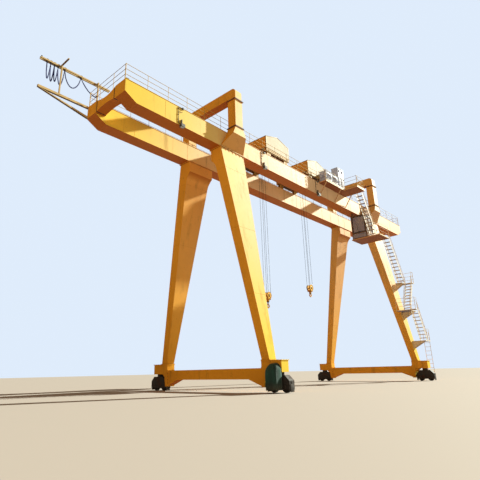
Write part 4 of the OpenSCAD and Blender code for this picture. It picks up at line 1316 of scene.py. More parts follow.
@dataclass
class Walkway:
    """The walkway's grating and toe board, and the cabinets' doors and vents."""

    low_cabinet: tuple[float, float, float] = (2.015, 3.365, 11.850)
    tall_cabinet: tuple[float, float, float] = (3.495, 4.195, 12.550)
    front: float = -1.800
    base: float = 11.210
    lead_x: tuple[float, ...] = (2.35, 2.55, 2.75, 3.70, 3.90)

    def door(self, shape: Shape, x0: float, x1: float, z0: float, z1: float, vents: int) -> None:
        """Adds a door leaf with hinges, a handle and louvres.

        Args:
            shape: The piece that takes it.
            x0: Hinged edge.
            x1: Edge of the handle.
            z0: Lower edge.
            z1: Upper edge.
            vents: How many louvres.
        """
        y = self.front
        shape.box((x0, y - 0.006, z0), (x1, y + 0.002, z1), 0.003)
        for z in (z0 + 0.09, z1 - 0.09):
            shape.rod((x0 + 0.004, y - 0.010, z - 0.03), (x0 + 0.004, y - 0.010, z + 0.03),
                      0.008, 10, 1)
        mid = (z0 + z1) / 2
        shape.box((x1 - 0.055, y - 0.013, mid - 0.06), (x1 - 0.030, y - 0.006, mid + 0.06),
                  0.002, 1)
        shape.sweep([(x1 - 0.042, y - 0.010, mid - 0.045), (x1 - 0.042, y - 0.030, mid - 0.030),
                     (x1 - 0.042, y - 0.030, mid + 0.030), (x1 - 0.042, y - 0.010, mid + 0.045)],
                    0.006, 8, 1)
        for k in range(vents):
            shape.strip((x0 + 0.06, y - 0.006, z1 - 0.08 - 0.028 * k), (0, -1, 0),
                        ((0, 0), (0.012, -0.012), (0.010, -0.015), (0, -0.008)),
                        (x1 - x0 - 0.14, 0, 0))

    def build(self) -> None:
        """Dresses the walkway and both cabinets."""
        Grating((PLAN.walk_l, -PLAN.walk_out), (PLAN.walk_r, -PLAN.web_out), PLAN.top_z,
                "walkway").build()
        Grating((PLAN.walk_r, -PLAN.wide_out), (PLAN.wide_r, -PLAN.web_out), PLAN.top_z,
                "wide_platform").build()
        board = Shape("walkway_toe_boards")
        z = PLAN.top_z
        for x0, x1, y in ((PLAN.walk_l, PLAN.walk_r, -PLAN.walk_out),
                          (PLAN.walk_r, PLAN.wide_r, -PLAN.wide_out)):
            board.box((x0 + 0.02, y, z), (x1 - 0.02, y + 0.005, z + 0.07), 0.001)
        board.box((PLAN.walk_r, -PLAN.wide_out, z), (PLAN.walk_r + 0.005, -PLAN.walk_out, z + 0.07),
                  0.001)
        for way in (-1, 1):
            a = Vector((PLAN.wide_r - 0.5 - way * 0.40, -2.690, z + 0.09))
            board.rod(a, a + Vector((way * 0.80, 0, 0.52)), 0.008, 10)
        board.place([RAIL])
        shape = Shape("cabinet_doors")
        x0, x1, z1 = self.low_cabinet
        for a, b in ((x0, (x0 + x1) / 2), ((x0 + x1) / 2, x1)):
            self.door(shape, a + 0.02, b - 0.008, self.base + 0.02, z1 - 0.05, 12)
        x0, x1, z1 = self.tall_cabinet
        for a, b in ((x0, (x0 + x1) / 2), ((x0 + x1) / 2, x1)):
            self.door(shape, a + 0.012, b - 0.006, self.base + 0.02, z1 - 0.05, 6)
        for x, _, z in (self.low_cabinet, self.tall_cabinet):
            for k in range(9):
                shape.strip((x, -1.70, self.base + 0.12 + 0.034 * k), (-1, 0, 0),
                            ((0, 0), (0.014, -0.012), (0.012, -0.016), (0, -0.010)), (0, 0.22, 0))
            for y in (-1.74, -1.44):
                shape.turned([(0.0, 0.0), (0.016, 0.0), (0.016, 0.012), (0.010, 0.020),
                              (0.0, 0.022)], (x + 0.06, y, z), (0, 0, 1), 12, 1)
        shape.place([WHITE, LAMP_GREY])
        leads = Shape("cabinet_conduits")
        for k, x in enumerate(self.lead_x):
            y = -1.372 - 0.006 * (k % 2)
            leads.sweep([(x, y, 11.32), (x, y, 11.20), (x, y + 0.004, 11.183),
                         (x - 0.05, y + 0.008, 11.179), (x - 0.30, y + 0.008, 11.179)], 0.007, 8)
        leads.place([BLACK], smooth=1.2)


@dataclass
class Cab:
    """The operator's cab: window seals, trims, wiper, cooling unit, chair and desks."""

    x0: float = 6.015
    x1: float = 6.965
    y0: float = -2.050
    y1: float = -1.050
    base: float = 8.590
    side_gap: float = 0.070
    sill: float = 0.380
    head: float = 0.090
    unit_low: tuple[float, float, float] = (6.055, -2.050, 10.1203)
    unit_high: tuple[float, float, float] = (6.455, -1.750, 10.420)

    def seal(self, shape: Shape, a: Vector, b: Vector, out: Vector) -> None:
        """Frames one window with a rubber strip and screws.

        Args:
            shape: The piece that takes it.
            a: The window's lower corner.
            b: The opposite upper corner.
            out: Direction out of the cab.
        """
        along = Vector((b.x - a.x, b.y - a.y, 0)).normalized()
        thick, wide = 0.004, 0.016
        for p, q in (((a.x, a.y, a.z), (b.x, b.y, a.z)), ((a.x, a.y, b.z), (b.x, b.y, b.z))):
            low, high = Vector(p) - Vector((0, 0, wide)), Vector(q) + Vector((0, 0, wide))
            shape.box(low - along * wide - out * 0.002, high + along * wide + out * thick, 0.002)
        for p in (a, b):
            low, high = Vector((p.x, p.y, a.z)), Vector((p.x, p.y, b.z))
            shape.box(low - along * wide - out * 0.002, high + along * wide + out * thick, 0.002)
        for i in range(6):
            for z in (a.z - wide * 1.6, b.z + wide * 1.6):
                p = a + (b - a) * (i + 0.5) / 6
                shape.bolt((p.x, p.y, z), out, 0.004, 1)

    def build(self) -> None:
        """Builds the seals, the outside fittings, the inside and the roof's unit."""
        low = self.base + 0.0003 + self.sill
        high = self.base + 1.4994 - self.head
        seals = Shape("cab_window_seals")
        for y, out in ((self.y0, -1), (self.y1, 1)):
            self.seal(seals, Vector((self.x0 + self.side_gap, y, low)),
                      Vector((self.x1 - self.side_gap, y, high)), Vector((0, out, 0)))
        for x, out in ((self.x0, -1), (self.x1, 1)):
            self.seal(seals, Vector((x, self.y0 + 0.1003, low)),
                      Vector((x, self.y1 - 0.1003, high)), Vector((out, 0, 0)))
        seals.place([BLACK, BOLT])
        trim = Shape("cab_trim")
        z0, z1 = self.base + 0.30, self.base + 0.325
        for y, out in ((self.y0, -1), (self.y1, 1)):
            trim.box((self.x0, y, z0), (self.x1, y + out * 0.006, z1), 0.002)
        for x, out in ((self.x0, -1), (self.x1, 1)):
            trim.box((x, self.y0, z0), (x + out * 0.006, self.y1, z1), 0.002)
        x = self.x0 + 0.48
        trim.box((x - 0.016, self.y0 - 0.004, low), (x + 0.016, self.y0 + 0.02, high), 0.003)
        trim.sweep([(x, self.y0, 9.06), (x, self.y0 - 0.042, 9.08), (x, self.y0 - 0.042, 9.36),
                    (x, self.y0, 9.38)], 0.008, 10, 1)
        trim.place([BROWN, LAMP_GREY])
        middle = (self.y0 + self.y1) / 2
        wiper = Shape("cab_wiper")
        wiper.turned([(0.0, 0.0), (0.022, 0.0), (0.022, 0.012), (0.010, 0.020), (0.0, 0.020)],
                     (self.x0 - 0.004, middle, low - 0.05), (-1, 0, 0), 16)
        wiper.sweep([(self.x0 - 0.018, middle, low - 0.05),
                     (self.x0 - 0.022, middle + 0.06, low + 0.20),
                     (self.x0 - 0.012, middle + 0.10, low + 0.36)], 0.004, 8)
        wiper.box((self.x0 - 0.012, middle + 0.095, low + 0.14),
                  (self.x0 - 0.001, middle + 0.103, low + 0.62), 0.002)
        wiper.place([BLACK])
        panes = Shape("cab_lower_pane")
        panes.box((self.x0 - 0.008, self.y0 + 0.06, self.base + 0.02),
                  (self.x0, self.y1 - 0.06, self.base + 0.29), 0.002)
        panes.place([GLASS])
        self.inside(middle)
        self.roof_box()

    def roof_box(self) -> None:
        """Puts louvres, feet and a pipe on the cooling unit on the roof."""
        shape = Shape("cab_cooling_unit")
        (x0, y0, z0), (x1, y1, z1) = self.unit_low, self.unit_high
        louvre = ((0, 0), (0.012, -0.012), (0.012, -0.016), (0, -0.010))
        for k in range(7):
            z = z0 + 0.05 + 0.034 * k
            shape.strip((x0, y0 + 0.03, z), (-1, 0, 0), louvre, (0, y1 - y0 - 0.06, 0))
            shape.strip((x0 + 0.04, y0, z), (0, -1, 0), louvre, (x1 - x0 - 0.08, 0, 0))
        shape.box((x0 - 0.012, y0 - 0.012, z1), (x1 + 0.012, y1 + 0.012, z1 + 0.014), 0.004)
        shape.sweep([(x1 + 0.002, -1.90, z0 + 0.10), (x1 + 0.05, -1.90, z0 + 0.10),
                     (x1 + 0.06, -1.90, z0 + 0.02)], 0.012, 10, 1)
        shape.place([YELLOW, BLACK])

    def inside(self, middle: float) -> None:
        """Builds the chair and the two desks.

        Args:
            middle: The cab's middle across Y.
        """
        inside = Shape("cab_chair_and_desk")
        x, z = self.x0 + 0.50, self.base
        inside.box((x - 0.10, middle - 0.14, z + 0.04), (x + 0.10, middle + 0.14, z + 0.10),
                   0.008, 1)
        inside.rod((x, middle, z + 0.09), (x, middle, z + 0.30), 0.035, 20, 1)
        inside.box((x - 0.19, middle - 0.18, z + 0.29), (x + 0.19, middle + 0.18, z + 0.36),
                   0.025, 0, 4)
        inside.slab([(x + 0.15, middle - 0.17, z + 0.36), (x + 0.21, middle - 0.17, z + 0.36),
                     (x + 0.30, middle - 0.17, z + 0.86), (x + 0.25, middle - 0.17, z + 0.88)],
                    (0, 0.34, 0), 0.018)
        for y in (middle - 0.26, middle + 0.26):
            inside.box((x - 0.20, y - 0.04, z + 0.03), (x + 0.07, y + 0.04, z + 0.50), 0.012, 1)
            inside.rod((x - 0.11, y, z + 0.49), (x - 0.13, y, z + 0.60), 0.006, 10)
            inside.turned([(0.0, 0.0), (0.016, 0.006), (0.020, 0.020), (0.012, 0.036),
                           (0.0, 0.040)], (x - 0.13, y, z + 0.59), (0, 0, 1), 14)
        inside.place([BLACK, LAMP_GREY])


@dataclass
class FestoonDress:
    """Rollers, cable clamps, end stop and bolts of the festoon track."""

    line_y: float = 1.435
    track_z: float = 12.500
    tip_x: float = -13.525
    beam_gap: float = 0.05
    arm_x: tuple[float, ...] = (-11.065, -12.685)

    def build(self, cable: FestoonCable) -> None:
        """Fits every carrier and the end of the track.

        Args:
            cable: The cable that hangs from the carriers.
        """
        shape = Shape("festoon_carrier_fittings")
        beams = (self.line_y - self.beam_gap, self.line_y + self.beam_gap)
        for x in cable.carriers:
            for y in beams:
                for dx in (-0.022, 0.022):
                    shape.rod((x + dx, y - 0.012, self.track_z + 0.015),
                              (x + dx, y + 0.012, self.track_z + 0.015), 0.0145, 14, 1)
            shape.turned([(0.0225, -0.030), (0.032, -0.030), (0.034, -0.024), (0.034, 0.024),
                          (0.032, 0.030), (0.0225, 0.030)], (x, self.line_y, cable.hang_z - 0.004),
                         (1, 0, 0), 20)
            for dx in (-0.02, 0.02):
                shape.bolt((x + dx, self.line_y - 0.026, self.track_z - 0.018), (0, -1, 0),
                           0.006, 2)
        for y in beams:
            shape.box((self.tip_x + 0.002, y - 0.019, self.track_z),
                      (self.tip_x + 0.05, y + 0.019, self.track_z + 0.045), 0.005, 1)
        for x in self.arm_x:
            for y in beams:
                shape.bolt((x, y, self.track_z + 0.050), (0, 0, 1), 0.009, 2)
        shape.place([LAMP_GREY, BLACK, BOLT])


@dataclass
class Floodlights:
    """Lens, rim, cooling fins and stirrup of each floodlight."""

    left_x: tuple[float, ...] = (-8.725, -3.325, 1.625)
    y_out: float = -1.510
    y_in: float = -1.372
    stirrup_y: tuple[float, float] = (-1.450, -1.425)
    z0: float = 10.210
    z1: float = 10.340

    def build(self) -> None:
        """Fits the three lamps."""
        shape = Shape("floodlight_fittings")
        for x in self.left_x:
            a, b = x - 0.080, x + 0.110
            shape.box((a + 0.010, self.y_out + 0.012, self.z0 - 0.006),
                      (b - 0.010, self.y_in - 0.002, self.z0), 0.003, 1)
            for low, high in (((a - 0.004, self.y_out - 0.004), (b + 0.004, self.y_out + 0.010)),
                              ((a - 0.004, self.y_in), (b + 0.004, self.y_in + 0.010)),
                              ((a - 0.004, self.y_out), (a + 0.008, self.y_in + 0.008)),
                              ((b - 0.008, self.y_out), (b + 0.004, self.y_in + 0.008))):
                shape.box((*low, self.z0 - 0.009), (*high, self.z0 + 0.012), 0.002)
            for k in range(7):
                y = self.y_out + 0.02 + 0.018 * k
                shape.box((a + 0.02, y, self.z1), (x - 0.004, y + 0.004, self.z1 + 0.022), 0.001)
            for e, face in ((-1, a), (1, b)):
                y0, y1 = self.stirrup_y
                shape.box((face, y0, self.z0 + 0.03), (face + e * 0.006, y1, self.z1 + 0.03),
                          0.001, 2)
                shape.bolt((face + e * 0.006, (y0 + y1) / 2, self.z0 + 0.06), (e, 0, 0), 0.009, 2)
        shape.place([LAMP_GREY, LENS, BOLT])


@dataclass
class DriveHood:
    """The canvas hood over one travel drive, hung over it in loose folds."""

    x1: float = -5.838
    depth: float = 0.425
    y: float = -3.375
    half: float = 0.246
    low: float = 0.094
    high: float = 1.006
    rows: int = 46
    columns: int = 120
    thickness: float = 0.003
    tie_share: float = 0.16
    eyelet_share: float = 0.035
    eyelets: int = 8

    def ring(self, z: float) -> tuple[float, float]:
        """Gives the hood's outline at a height.

        Args:
            z: The height.

        Returns:
            Its depth and half its width.
        """
        profile = ((0.0, 1.0), (0.60, 1.0), (0.72, 0.965), (0.84, 0.80), (0.94, 0.62),
                   (0.98, 0.42), (1.0, 0.04))
        share = (z - self.low) / (self.high - self.low)
        deep = 0.0
        for (a, p), (b, q) in zip(profile, profile[1:]):
            if a <= share <= b:
                deep = p + (q - p) * (share - a) / (b - a)
        arch = max(0.0, (z - (self.high - 0.25)) / 0.25)
        return self.depth * deep, self.half * math.sqrt(max(0.0016, 1 - arch * arch))

    def point(self, s: float, t: float) -> Vector:
        """Gives one point of the cloth.

        Args:
            s: Share of the way round the hood, from one wall edge to the other.
            t: Share of the way up.

        Returns:
            The point.
        """
        z = self.low + (self.high - self.low) * (1 - (1 - t) ** 1.35)
        deep, half = self.ring(z)
        angle = math.pi * s
        power = 0.42
        c, n = math.cos(angle), math.sin(angle)
        y = half * math.copysign(abs(c) ** power, c)
        x = -deep * abs(n) ** power
        fade = (1 - t) ** 0.6 * min(1.0, 6 * s, 6 * (1 - s))
        fold = (math.sin(34 * s + 2.2 * math.sin(5 * s)) + 0.5 * math.sin(61 * s + 4 * t)
                + 0.35 * math.sin(13 * s - 6 * t))
        sag = 0.010 * fade * fold - 0.006 * math.sin(9 * t + 3 * s) * fade
        out = Vector((-abs(n), c, 0)).normalized()
        hem = 0.012 * fade * math.sin(21 * s) * (1 - t) ** 4
        return Vector((self.x1 + x, self.y + y, z + hem)) + out * (sag - 0.006)

    def build(self) -> None:
        """Sews the hood with its hem and its tie rope."""
        shape = Shape("drive_hood_canvas")
        grid = [[shape.mesh.verts.new(self.point(i / self.columns, j / self.rows))
                 for i in range(self.columns + 1)] for j in range(self.rows + 1)]
        area = 0.0
        for j in range(self.rows):
            for i in range(self.columns):
                face = shape.mesh.faces.new((grid[j][i], grid[j][i + 1], grid[j + 1][i + 1],
                                             grid[j + 1][i]))
                area += face.calc_area()
        canvas = shape.place([GREEN], smooth=1.5)
        thick = canvas.modifiers.new("thickness", "SOLIDIFY")
        thick.thickness, thick.offset = self.thickness, -1.0
        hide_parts("drive_hood")
        rope = Shape("drive_hood_tie_rope")
        path = [self.point(i / 60, self.tie_share)
                + Vector((-0.004 * math.sin(math.pi * i / 60), 0, 0)) for i in range(1, 60)]
        rope.sweep(path, 0.005, 8)
        for i in range(self.eyelets):
            share = (i + 0.5) / self.eyelets
            place = self.point(share, self.eyelet_share)
            angle = math.pi * share
            out = Vector((-math.sin(angle), math.cos(angle), 0))
            rope.turned([(0.006, 0.0), (0.013, 0.0), (0.013, 0.003), (0.009, 0.005),
                         (0.006, 0.003)], place, out, 14, 1)
        tie = rope.place([BLACK, BOLT], smooth=1.2)
        log.info("drive hood: %.2f square metres of canvas", area)


@dataclass
class Trolley:
    """One trolley: the cover's trims and ribbed ends, and the chassis' details."""

    x: float
    body: Body
    half_x: float = 1.0
    half_y: float = 1.165
    deck: float = 11.725
    eave: float = 12.425
    ridge: float = 12.695
    frame_z: float = 11.575
    drum_z: float = 11.995
    drum_r: float = 0.150
    rib_pitch: float = 0.070
    rail_y: float = 1.040
    wheel_z: float = 11.3703
    wheel_in: float = 0.260
    guard: tuple[float, float] = (11.262, 11.470)
    buffer_y: float = 0.980
    buffer_z: float = 11.650
    motor_z: float = 11.860
    motor_r: float = 0.112

    @property
    def tag(self) -> str:
        """The body's name in small letters."""
        return self.body.value

    def roof_z(self, x: float) -> float:
        """Gives the roof's height at a distance from the trolley's middle."""
        return self.ridge - (self.ridge - self.eave) * abs(x) / self.half_x

    def ends(self) -> None:
        """Ribs the two end walls with pressed corrugations."""
        shape = Shape(f"cover_ribs_{self.tag}")
        count = round((self.eave - self.deck - 0.10) / self.rib_pitch)
        for e in (-1, 1):
            face = self.x + e * self.half_x
            y = -self.half_y + 0.05
            for z in steps(self.deck + 0.085, self.eave - 0.055, count):
                shape.strip((face, y, z), (e, 0, 0),
                            ((0, -0.024), (0.010, -0.012), (0.010, 0.012), (0, 0.024)),
                            (0, 2 * self.half_y - 0.10, 0), 0.002)
        shape.place([RIBBED], self.body)

    def trims(self) -> None:
        """Frames the cover with angles, a ridge cap, roof seams, a base strip and lugs."""
        shape = Shape(f"cover_trims_{self.tag}")
        dark = Shape(f"cover_edges_{self.tag}")
        t = 0.005
        for e in (-1, 1):
            for s in (-1, 1):
                x, y = self.x + e * self.half_x, s * self.half_y
                dark.box((x - e * 0.035, y, self.deck + 0.004),
                         (x + e * t, y + s * t, self.eave - 0.004), 0.001)
                dark.box((x, y - s * 0.035, self.deck + 0.004),
                         (x + e * t, y + s * t, self.eave - 0.004), 0.001)
            x, wide = self.x + e * self.half_x, self.half_y + t
            dark.box((x, -wide, self.deck), (x + e * 0.012, wide, self.deck + 0.045), 0.002)
            dark.box((x, -wide, self.eave - 0.018), (x + e * 0.020, wide, self.eave + 0.004), 0.002)
        mid, ridge = self.x, self.ridge
        for s in (-1, 1):
            y = s * self.half_y
            shape.box((mid - self.half_x, y, self.deck),
                      (mid + self.half_x, y + s * 0.010, self.deck + 0.040), 0.002)
            for k in range(9):
                shape.bolt((mid - 0.92 + 0.23 * k, y + s * 0.010, self.deck + 0.020), (0, s, 0),
                           0.008, 1)
            for e in (-1, 1):
                x = mid + e * self.half_x
                shape.slab([(mid, y, ridge + 0.004), (x, y, self.eave + 0.004),
                            (x, y, self.eave - 0.026), (mid, y, ridge - 0.026)],
                           (0, s * 0.008, 0), 0.001)
            lug = y - s * 0.12
            shape.slab([(mid - 0.05, lug, ridge - 0.015), (mid + 0.05, lug, ridge - 0.015),
                        (mid + 0.030, lug, ridge + 0.040), (mid - 0.030, lug, ridge + 0.040)],
                       (0, s * 0.016, 0), 0.003)
        near_z, far_z = self.roof_z(0.03), self.roof_z(0.98)
        for e in (-1, 1):
            x0, x1 = mid + e * 0.03, mid + e * 0.98
            for y in steps(-self.half_y + 0.16, self.half_y - 0.16, 8):
                shape.slab([(x0, y - 0.008, near_z - 0.002), (x1, y - 0.008, far_z - 0.002),
                            (x1, y - 0.008, far_z + 0.018), (x0, y - 0.008, near_z + 0.018)],
                           (0, 0.016, 0), 0.003)
        y, cap_z = -self.half_y, self.roof_z(0.11)
        shape.slab([(mid - 0.11, y, cap_z + 0.003), (mid, y, ridge + 0.003),
                    (mid + 0.11, y, cap_z + 0.003), (mid + 0.11, y, cap_z + 0.012),
                    (mid, y, ridge + 0.014), (mid - 0.11, y, cap_z + 0.012)],
                   (0, 2 * self.half_y, 0))
        shape.place([COVER, BOLT], self.body)
        dark.place([COVER_EDGE], self.body)

    def hatch(self) -> None:
        """Hangs an inspection door with hinges and a vent in the far wall."""
        shape = Shape(f"cover_hatch_{self.tag}")
        y = self.half_y
        x0, x1 = self.x - 0.30, self.x + 0.30
        shape.box((x0, y, self.deck + 0.09), (x1, y + 0.007, self.eave - 0.03), 0.003)
        for z in (self.deck + 0.20, self.eave - 0.16):
            shape.rod((x0, y + 0.010, z - 0.035), (x0, y + 0.010, z + 0.035), 0.009, 10, 1)
        x = self.x + 0.25
        shape.sweep([(x, y + 0.006, 12.02), (x, y + 0.030, 12.04), (x, y + 0.030, 12.13),
                     (x, y + 0.006, 12.15)], 0.006, 8, 1)
        for k in range(7):
            for x0 in (self.x - 0.85, self.x + 0.45):
                shape.strip((x0, y, self.deck + 0.42 - 0.03 * k), (0, 1, 0),
                            ((0, 0), (0.014, -0.014), (0.012, -0.018), (0, -0.010)), (0.40, 0, 0))
        shape.place([COVER, LAMP_GREY], self.body)

    def chassis(self) -> None:
        """Adds wheel flanges, caps, rail guards, buffers' rubbers and beam bolts."""
        shape = Shape(f"chassis_fittings_{self.tag}")
        wheel_z, wheel_x = self.wheel_z, self.half_x - self.wheel_in
        for s in (-1, 1):
            for d in (-1, 1):
                x = self.x + d * wheel_x
                for e in (-1, 1):
                    y = s * self.rail_y + e * 0.075
                    shape.turned([(0.030, 0.0), (0.062, 0.0), (0.062, 0.006), (0.054, 0.011),
                                  (0.030, 0.011)], (x, y, wheel_z), (0, e, 0), 24, 1)
                    shape.bolt_ring((x, y + e * 0.010, wheel_z), (0, e, 0), 0.046, 5, 18, 0.006, 2)
                    shape.turned([(0.030, 0.0), (0.133, 0.0), (0.133, 0.004), (0.120, 0.006),
                                  (0.030, 0.006)], (x, s * self.rail_y + e * 0.0315, wheel_z),
                                 (0, e, 0), 30, 1)
                shape.box((x + d * 0.161, s * self.rail_y - 0.045, self.guard[0]),
                          (x + d * 0.172, s * self.rail_y + 0.045, self.guard[1]), 0.0, 1)
                bx = self.x + d * (self.half_x + 0.060)
                shape.turned([(0.0, 0.0), (0.052, 0.0), (0.052, 0.014), (0.040, 0.030),
                              (0.016, 0.036), (0.0, 0.036)],
                             (bx - d * 0.020, s * self.buffer_y, self.buffer_z), (d, 0, 0), 20, 3)
                plate, y = self.x + d * self.half_x, s * self.buffer_y
                shape.box((plate - 0.006, y - 0.065, self.buffer_z - 0.065),
                          (plate + 0.006, y + 0.065, self.buffer_z + 0.065), 0.002)
            for x in steps(self.x - 0.94, self.x + 0.94, 14):
                shape.bolt((x, s * 1.130, self.frame_z), (0, 0, -1), 0.009, 2)
            for x in steps(self.x - 0.80, self.x + 0.80, 5):
                shape.box((x - 0.005, s * self.half_y, self.frame_z + 0.01),
                          (x + 0.005, s * (self.half_y + 0.004), self.deck - 0.01))
        shape.place([YELLOW, DARK, BOLT, BLACK], self.body)

    def drum(self) -> None:
        """Winds the rope on the drum and adds the hoist's motor and gearbox."""
        shape = Shape(f"drum_windings_{self.tag}")
        r = self.drum_r + 0.004
        for s in (-1, 1):
            turns = 17
            path = []
            for i in range(turns * 20 + 1):
                a = 2 * math.pi * i / 20
                path.append((self.x + r * math.cos(a), s * (0.088 + 0.0165 * i / 20),
                             self.drum_z + r * math.sin(a)))
            shape.sweep(path, 0.007, 6)
        shape.place([ROPE], self.body, smooth=1.2)
        works = Shape(f"hoist_works_{self.tag}")
        for s in (-1, 1):
            works.turned([(0.045, 0.0), (0.190, 0.0), (0.190, 0.014), (0.160, 0.018),
                          (0.045, 0.018)], (self.x, s * 0.412, self.drum_z), (0, s, 0), 32)
        works.box((self.x - 0.30, 0.52, self.deck), (self.x + 0.20, 0.72, 12.12), 0.02)
        motor = self.x + 0.42
        works.turned([(0.0, 0.0), (0.10, 0.0), (0.11, 0.02), (0.11, 0.30), (0.09, 0.34),
                      (0.0, 0.34)], (motor, 0.50, self.motor_z), (0, -1, 0), 24)
        for k in range(12):
            a = math.radians(30 * k)
            x, z = motor + self.motor_r * math.cos(a), self.motor_z + self.motor_r * math.sin(a)
            works.rod((x, 0.46, z), (x, 0.22, z), 0.005, 6)
        works.box((self.x + 0.32, 0.24, self.deck), (self.x + 0.52, 0.46, 11.765), 0.004)
        works.box((self.x + 0.20, 0.50, self.deck), (self.x + 0.54, 0.60, 11.97), 0.012)
        works.place([LAMP_GREY], self.body)

    def build(self) -> None:
        """Builds all of the trolley's details."""
        self.ends()
        self.trims()
        self.hatch()
        self.chassis()
        self.drum()


@dataclass(frozen=True)
class Hoist:
    """Where one trolley stands and how its hook block hangs, in metres."""

    number: int
    x: float
    top: float
    tall: float
    trolley: Body
    hook: Body


HOISTS = (Hoist(1, -1.765, 4.455, 0.800, Body.TROLLEY_1, Body.HOOK_1),
          Hoist(2, 2.155, 5.310, 0.690, Body.TROLLEY_2, Body.HOOK_2))


@dataclass
class Ropes:
    """The four falls between a drum and its hook block."""

    x: float
    top: float
    trolley: Body
    hook: Body
    number: int
    drum_z: float = 11.995
    fall_x: float = 0.1573
    fall_y: float = 0.075
    radius: float = 0.007
    ring_step: float = 0.11

    def build(self) -> None:
        """Draws the falls as tubes in place of the plain ones, attached to no body."""
        axle = self.top - 0.172
        count = round((self.drum_z - axle) / self.ring_step)
        shape = Shape(f"rope_falls_{self.number}")
        for dx in (-1, 1):
            for dy in (-1, 1):
                x, y = self.x + dx * self.fall_x, dy * self.fall_y
                shape.sweep([(x, y, z) for z in steps(axle, self.drum_z, count)], self.radius, 10)
        falls = shape.place([ROPE], None, smooth=1.2)
        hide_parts(f"rope_{self.number}")
        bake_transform(falls)


@dataclass
class HookBlock:
    """One hook block's rims, guards, pins, rope turns and hook latch."""

    x: float
    top: float
    tall: float
    body: Body
    cheek_r: float = 0.172
    groove_r: float = 0.1573
    half_y: float = 0.111
    sheave_y: float = 0.075
    guard_x: float = 0.085
    neck_drop: float = 0.325

    def build(self) -> None:
        """Adds the block's fittings and what is on its hook."""
        axle = self.top - self.cheek_r
        bowl_z = self.top - self.tall + 0.110
        shape = Shape(f"block_fittings_{self.body.value}")
        for s in (-1, 1):
            face = s * self.half_y
            shape.turned([(0.158, 0.0), (0.171, 0.0), (0.171, 0.006), (0.160, 0.006)],
                         (self.x, face, axle), (0, s, 0), 44)
            shape.turned([(0.030, 0.0), (0.064, 0.0), (0.064, 0.008), (0.056, 0.013),
                          (0.030, 0.013)], (self.x, face, axle), (0, s, 0), 30, 1)
            shape.bolt_ring((self.x, face + s * 0.012, axle), (0, s, 0), 0.046, 6, 0, 0.006, 2)
            shape.turned([(0.0, 0.0), (0.009, 0.0), (0.009, 0.006), (0.004, 0.008),
                          (0.004, 0.014), (0.0, 0.015)],
                         (self.x, s * (self.half_y + 0.015), axle), (0, s, 0), 12, 2)
            for dx in (-self.guard_x, self.guard_x):
                shape.box((self.x + dx - 0.012, face, axle - 0.200),
                          (self.x + dx + 0.012, face + s * 0.007, axle - 0.06), 0.003)
                for z in (axle - 0.185, axle - 0.08):
                    shape.bolt((self.x + dx, face + s * 0.007, z), (0, s, 0), 0.007, 2)
            shape.bolt((self.x, face, axle - 0.185), (0, s, 0), 0.016, 2)
        for dx in (-1, 1):
            shape.box((self.x + dx * 0.122, -self.half_y + 0.014, axle - 0.205),
                      (self.x + dx * 0.128, self.half_y - 0.014, axle - 0.125), 0.002)
        shape.turned([(0.026, 0.0), (0.060, 0.0), (0.066, 0.008), (0.066, 0.026), (0.058, 0.034),
                      (0.026, 0.034)], (self.x, 0, axle - self.neck_drop), (0, 0, 1), 28, 1)
        shape.place([HOOK_PAINT, FORGED, BOLT], self.body)
        sheaves = Shape(f"sheave_rims_{self.body.value}")
        turns = Shape(f"sheave_rope_{self.body.value}")
        for y in (-self.sheave_y, self.sheave_y):
            for e in (-1, 1):
                sheaves.turned([(0.146, 0.0), (0.166, 0.005), (0.166, 0.010), (0.146, 0.010)],
                               (self.x, y + e * 0.0075, axle), (0, e, 0), 40)
            turns.sweep([(self.x - self.groove_r * math.cos(math.radians(a)), y,
                          axle - self.groove_r * math.sin(math.radians(a)))
                         for a in range(0, 181, 9)], 0.007, 8)
        sheaves.place([DARK], self.body)
        turns.place([ROPE], self.body, smooth=1.2)
        latch = Shape(f"hook_latch_{self.body.value}")
        tip = Vector((self.x - 0.072, 0, bowl_z + 0.045))
        root = Vector((self.x - 0.012, 0, bowl_z + 0.118))
        latch.slab([(tip.x, -0.017, tip.z), (tip.x, 0.017, tip.z), (root.x, 0.017, root.z),
                    (root.x, -0.017, root.z)], (0.005, 0, 0.004), 0.001)
        latch.rod((root.x, -0.034, root.z), (root.x, 0.034, root.z), 0.008, 12)
        latch.turned([(0.026, 0.0), (0.038, 0.0), (0.040, 0.006), (0.040, 0.020), (0.026, 0.024)],
                     (self.x, 0, bowl_z + 0.150), (0, 0, 1), 24)
        latch.place([DARK], self.body)


DECK_Z = PLAN.top_z
RAILINGS = (Railing((-11.405, -1.290), (1.865, -1.290), DECK_Z, "near_left"),
            Railing((5.020, -1.290), (13.505, -1.290), DECK_Z, "near_right"),
            Railing((-11.405, 1.290), (13.505, 1.290), DECK_Z, "far"),
            Railing((1.905, -1.840), (3.980, -1.840), DECK_Z, "walkway"),
            Railing((4.060, -2.700), (4.940, -2.700), DECK_Z, "platform_near"),
            Railing((1.905, -1.800), (1.905, -1.400), DECK_Z, "walkway_end"),
            Railing((4.020, -2.700), (4.020, -1.880), DECK_Z, "platform_left"),
            Railing((4.980, -2.060), (4.980, -1.400), DECK_Z, "platform_right"))
LANDINGS = (Grating((5.985, -2.875), (7.335, -2.060), 8.560, "cab_platform"),
            Grating((8.300, -2.880), (9.195, -2.445), 5.830, "landing_1"),
            Grating((7.575, -3.310), (8.835, -2.560), 4.040, "landing_2"),
            Grating((8.425, -3.735), (9.165, -2.905), 2.250, "landing_3"))
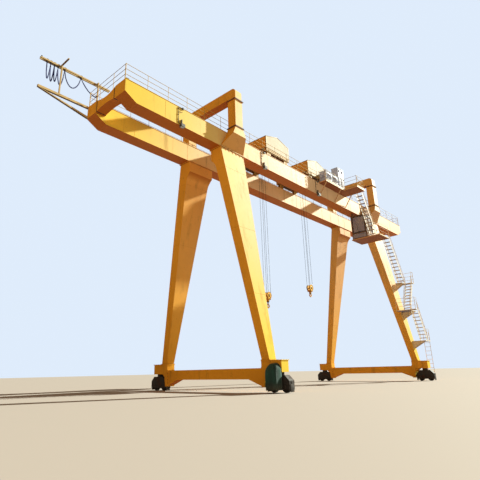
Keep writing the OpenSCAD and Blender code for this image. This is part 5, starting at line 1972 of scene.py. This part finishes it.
FLIGHTS = (Flight((5.0003, 11.170), (6.4503, 8.5603), 2.100, "upper"),
           Flight((7.3353, 8.560), (8.835, 5.830), 2.460, "middle"),
           Flight((8.8347, 5.830), (7.935, 4.040), 2.890, "lower"),
           Flight((7.9353, 4.040), (8.805, 2.250), 3.320, "foot"))


def build_all(parts: Iterable[Railing | Grating | Flight]) -> None:
    """Builds parts of one kind, in order."""
    for part in parts:
        part.build()


def dress_nodes() -> None:
    """Gives every node of the frame its own finish, by what its name starts with."""
    rules = (("trolley_rails", BRIGHT), ("bogie", DARK), ("railing", RAIL), ("stair", STAIR),
             ("cabinets", WHITE), ("cab_glass", GLASS), ("cab_platform", DECK), ("cab", BROWN),
             ("festoon_frame", TRACK), ("festoon_cable", BLUE), ("drive_hood", GREEN),
             ("floodlights", LAMP_GREY), ("trolley_1_cover", COVER), ("trolley_2_cover", COVER),
             ("trolley_1_frame", UNDER), ("trolley_2_frame", UNDER), ("rope", ROPE),
             ("hook_block", HOOK_PAINT), ("walkway", DECK))
    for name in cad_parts:
        finish = next((f for start, f in rules if name.startswith(start)), YELLOW)
        coat(name, finish)


def main() -> None:
    """Builds the studio and every sub-assembly in order, and reports each."""
    logging.basicConfig(level=logging.INFO, format="%(message)s")
    studio = Studio()
    studio.camera()
    cable = FestoonCable()
    cable.build()
    studio.light()
    studio.floor()
    dress_nodes()
    GirderDress().build()
    for x, way in ((PLAN.end_l, -1), (PLAN.end_r, 1)):
        TieDress(x, way).build()
    for x in (PLAN.left_x, PLAN.right_x):
        for side in Side:
            LegDress(x, side).build()
        GroundDress(x).build()
        SaddleDress(x).build()
    build_all(RAILINGS)
    Walkway().build()
    build_all(LANDINGS)
    Cab().build()
    build_all(FLIGHTS)
    FestoonDress().build(cable)
    Floodlights().build()
    DriveHood().build()
    for hoist in HOISTS:
        Trolley(hoist.x, hoist.trolley).build()
    for hoist in HOISTS:
        Ropes(hoist.x, hoist.top, hoist.trolley, hoist.hook, hoist.number).build()
    for hoist in HOISTS:
        HookBlock(hoist.x, hoist.top, hoist.tall, hoist.hook).build()


if __name__ == "__main__":
    main()
